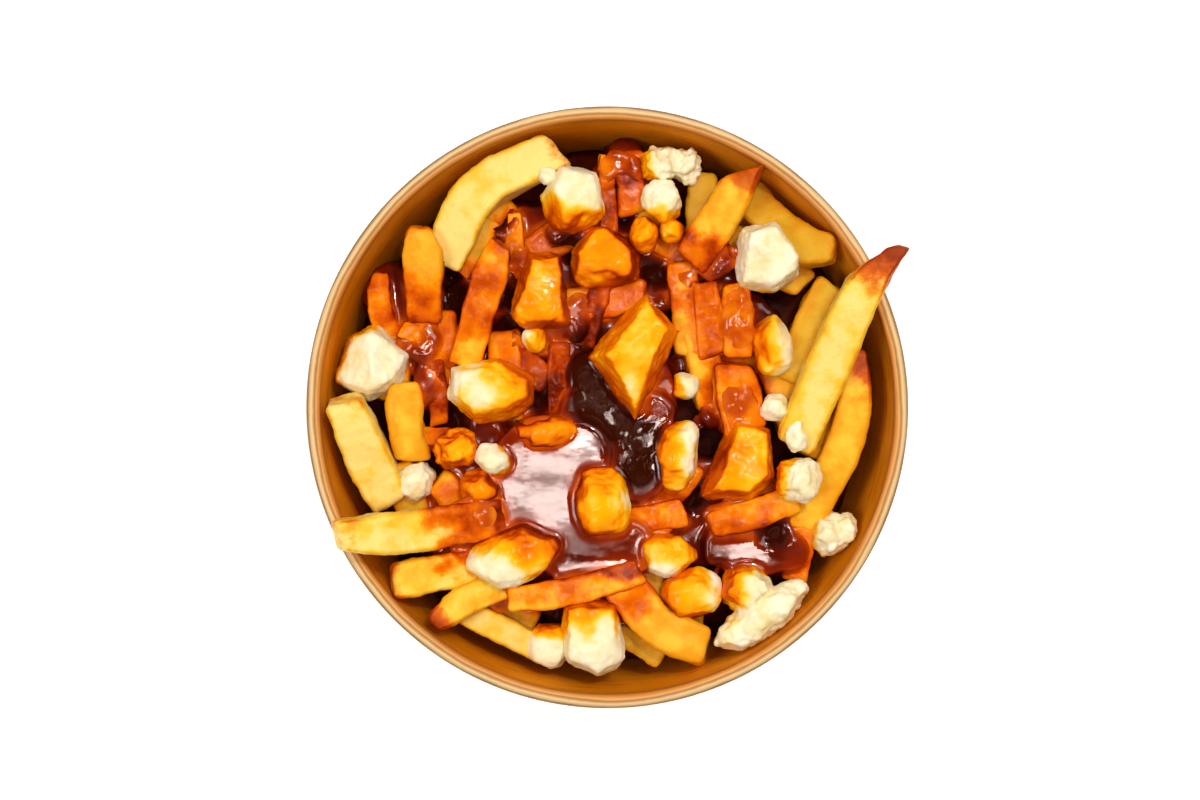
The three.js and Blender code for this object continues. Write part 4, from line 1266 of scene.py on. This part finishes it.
class StageSettings(bpy.types.PropertyGroup):
    """The light and the camera."""

    world_light: plain_number("World light", "Strength of the light round about", 0.5)
    ceiling_light: plain_number("Ceiling light", "Strength of the even light overhead", 0.06)
    floor_glow: plain_number("Floor glow", "Light that the white floor adds", 0.3)
    key_light: plain_number("Key light", "Power of the key light", 2.6, unit="POWER")
    spark_light: plain_number("Spark light", "Power of the small light that makes glints", 1, unit="POWER")
    fill_light: plain_number("Fill light", "Power of the fill light", 2.4, unit="POWER")
    gloss_light: plain_number("Gloss light", "Watts per square metre of the lights that gravy mirrors", 62)
    camera_above_rim: metres("Camera above rim", "How far the camera is above the rim", 0.45)
    pixel_size: metres("Pixel size", "Width at the rim of one of 1200 pixels across", 0.2483 * MM)


class POUTINE_OT_bowl(bpy.types.Operator):
    """Build the kraft paper bowl"""

    bl_idname = "poutine.bowl"
    bl_label = "Build the bowl"

    def execute(self, context):
        build_bowl(context.scene.poutine_bowl)
        return {"FINISHED"}


class POUTINE_OT_fries(bpy.types.Operator):
    """Build the fries that show, the ones below and the heap's core"""

    bl_idname = "poutine.fries"
    bl_label = "Build the fries"

    def execute(self, context):
        build_fries(context.scene.poutine_fries)
        return {"FINISHED"}


class POUTINE_OT_curds(bpy.types.Operator):
    """Build the cheese curds"""

    bl_idname = "poutine.curds"
    bl_label = "Build the curds"

    def execute(self, context):
        build_curds(context.scene.poutine_curds)
        return {"FINISHED"}


class POUTINE_OT_gravy(bpy.types.Operator):
    """Melt the gravy over the fries and into the pools"""

    bl_idname = "poutine.gravy"
    bl_label = "Build the gravy"

    def execute(self, context):
        build_gravy(context.scene.poutine_gravy)
        return {"FINISHED"}


class POUTINE_OT_stage(bpy.types.Operator):
    """Set up the floor, the light and the camera"""

    bl_idname = "poutine.stage"
    bl_label = "Build the stage"

    def execute(self, context):
        build_stage(context.scene.poutine_stage)
        return {"FINISHED"}


class POUTINE_PT_panel(bpy.types.Panel):
    """Lists the steps that build the dish"""

    bl_idname = "POUTINE_PT_panel"
    bl_label = "Poutine"
    bl_space_type = "VIEW_3D"
    bl_region_type = "UI"
    bl_category = "Poutine"

    def draw(self, context):
        for operator in OPERATORS:
            self.layout.operator(operator.bl_idname)


SETTINGS = {
    "poutine_bowl": BowlSettings,
    "poutine_fries": FrySettings,
    "poutine_curds": CurdSettings,
    "poutine_gravy": GravySettings,
    "poutine_stage": StageSettings,
}
OPERATORS = [POUTINE_OT_stage, POUTINE_OT_bowl, POUTINE_OT_fries, POUTINE_OT_curds, POUTINE_OT_gravy]
CLASSES = [*SETTINGS.values(), *OPERATORS, POUTINE_PT_panel]


def register():
    for item in CLASSES:
        bpy.utils.register_class(item)
    for name, group in SETTINGS.items():
        setattr(bpy.types.Scene, name, bpy.props.PointerProperty(type=group))


def unregister():
    for name in SETTINGS:
        delattr(bpy.types.Scene, name)
    for item in reversed(CLASSES):
        bpy.utils.unregister_class(item)


def main():
    register()
    bpy.ops.poutine.stage()
    bpy.ops.poutine.bowl()
    bpy.ops.poutine.fries()
    bpy.ops.poutine.curds()
    bpy.ops.poutine.gravy()
    deselect()


if __name__ == "__main__":
    main()
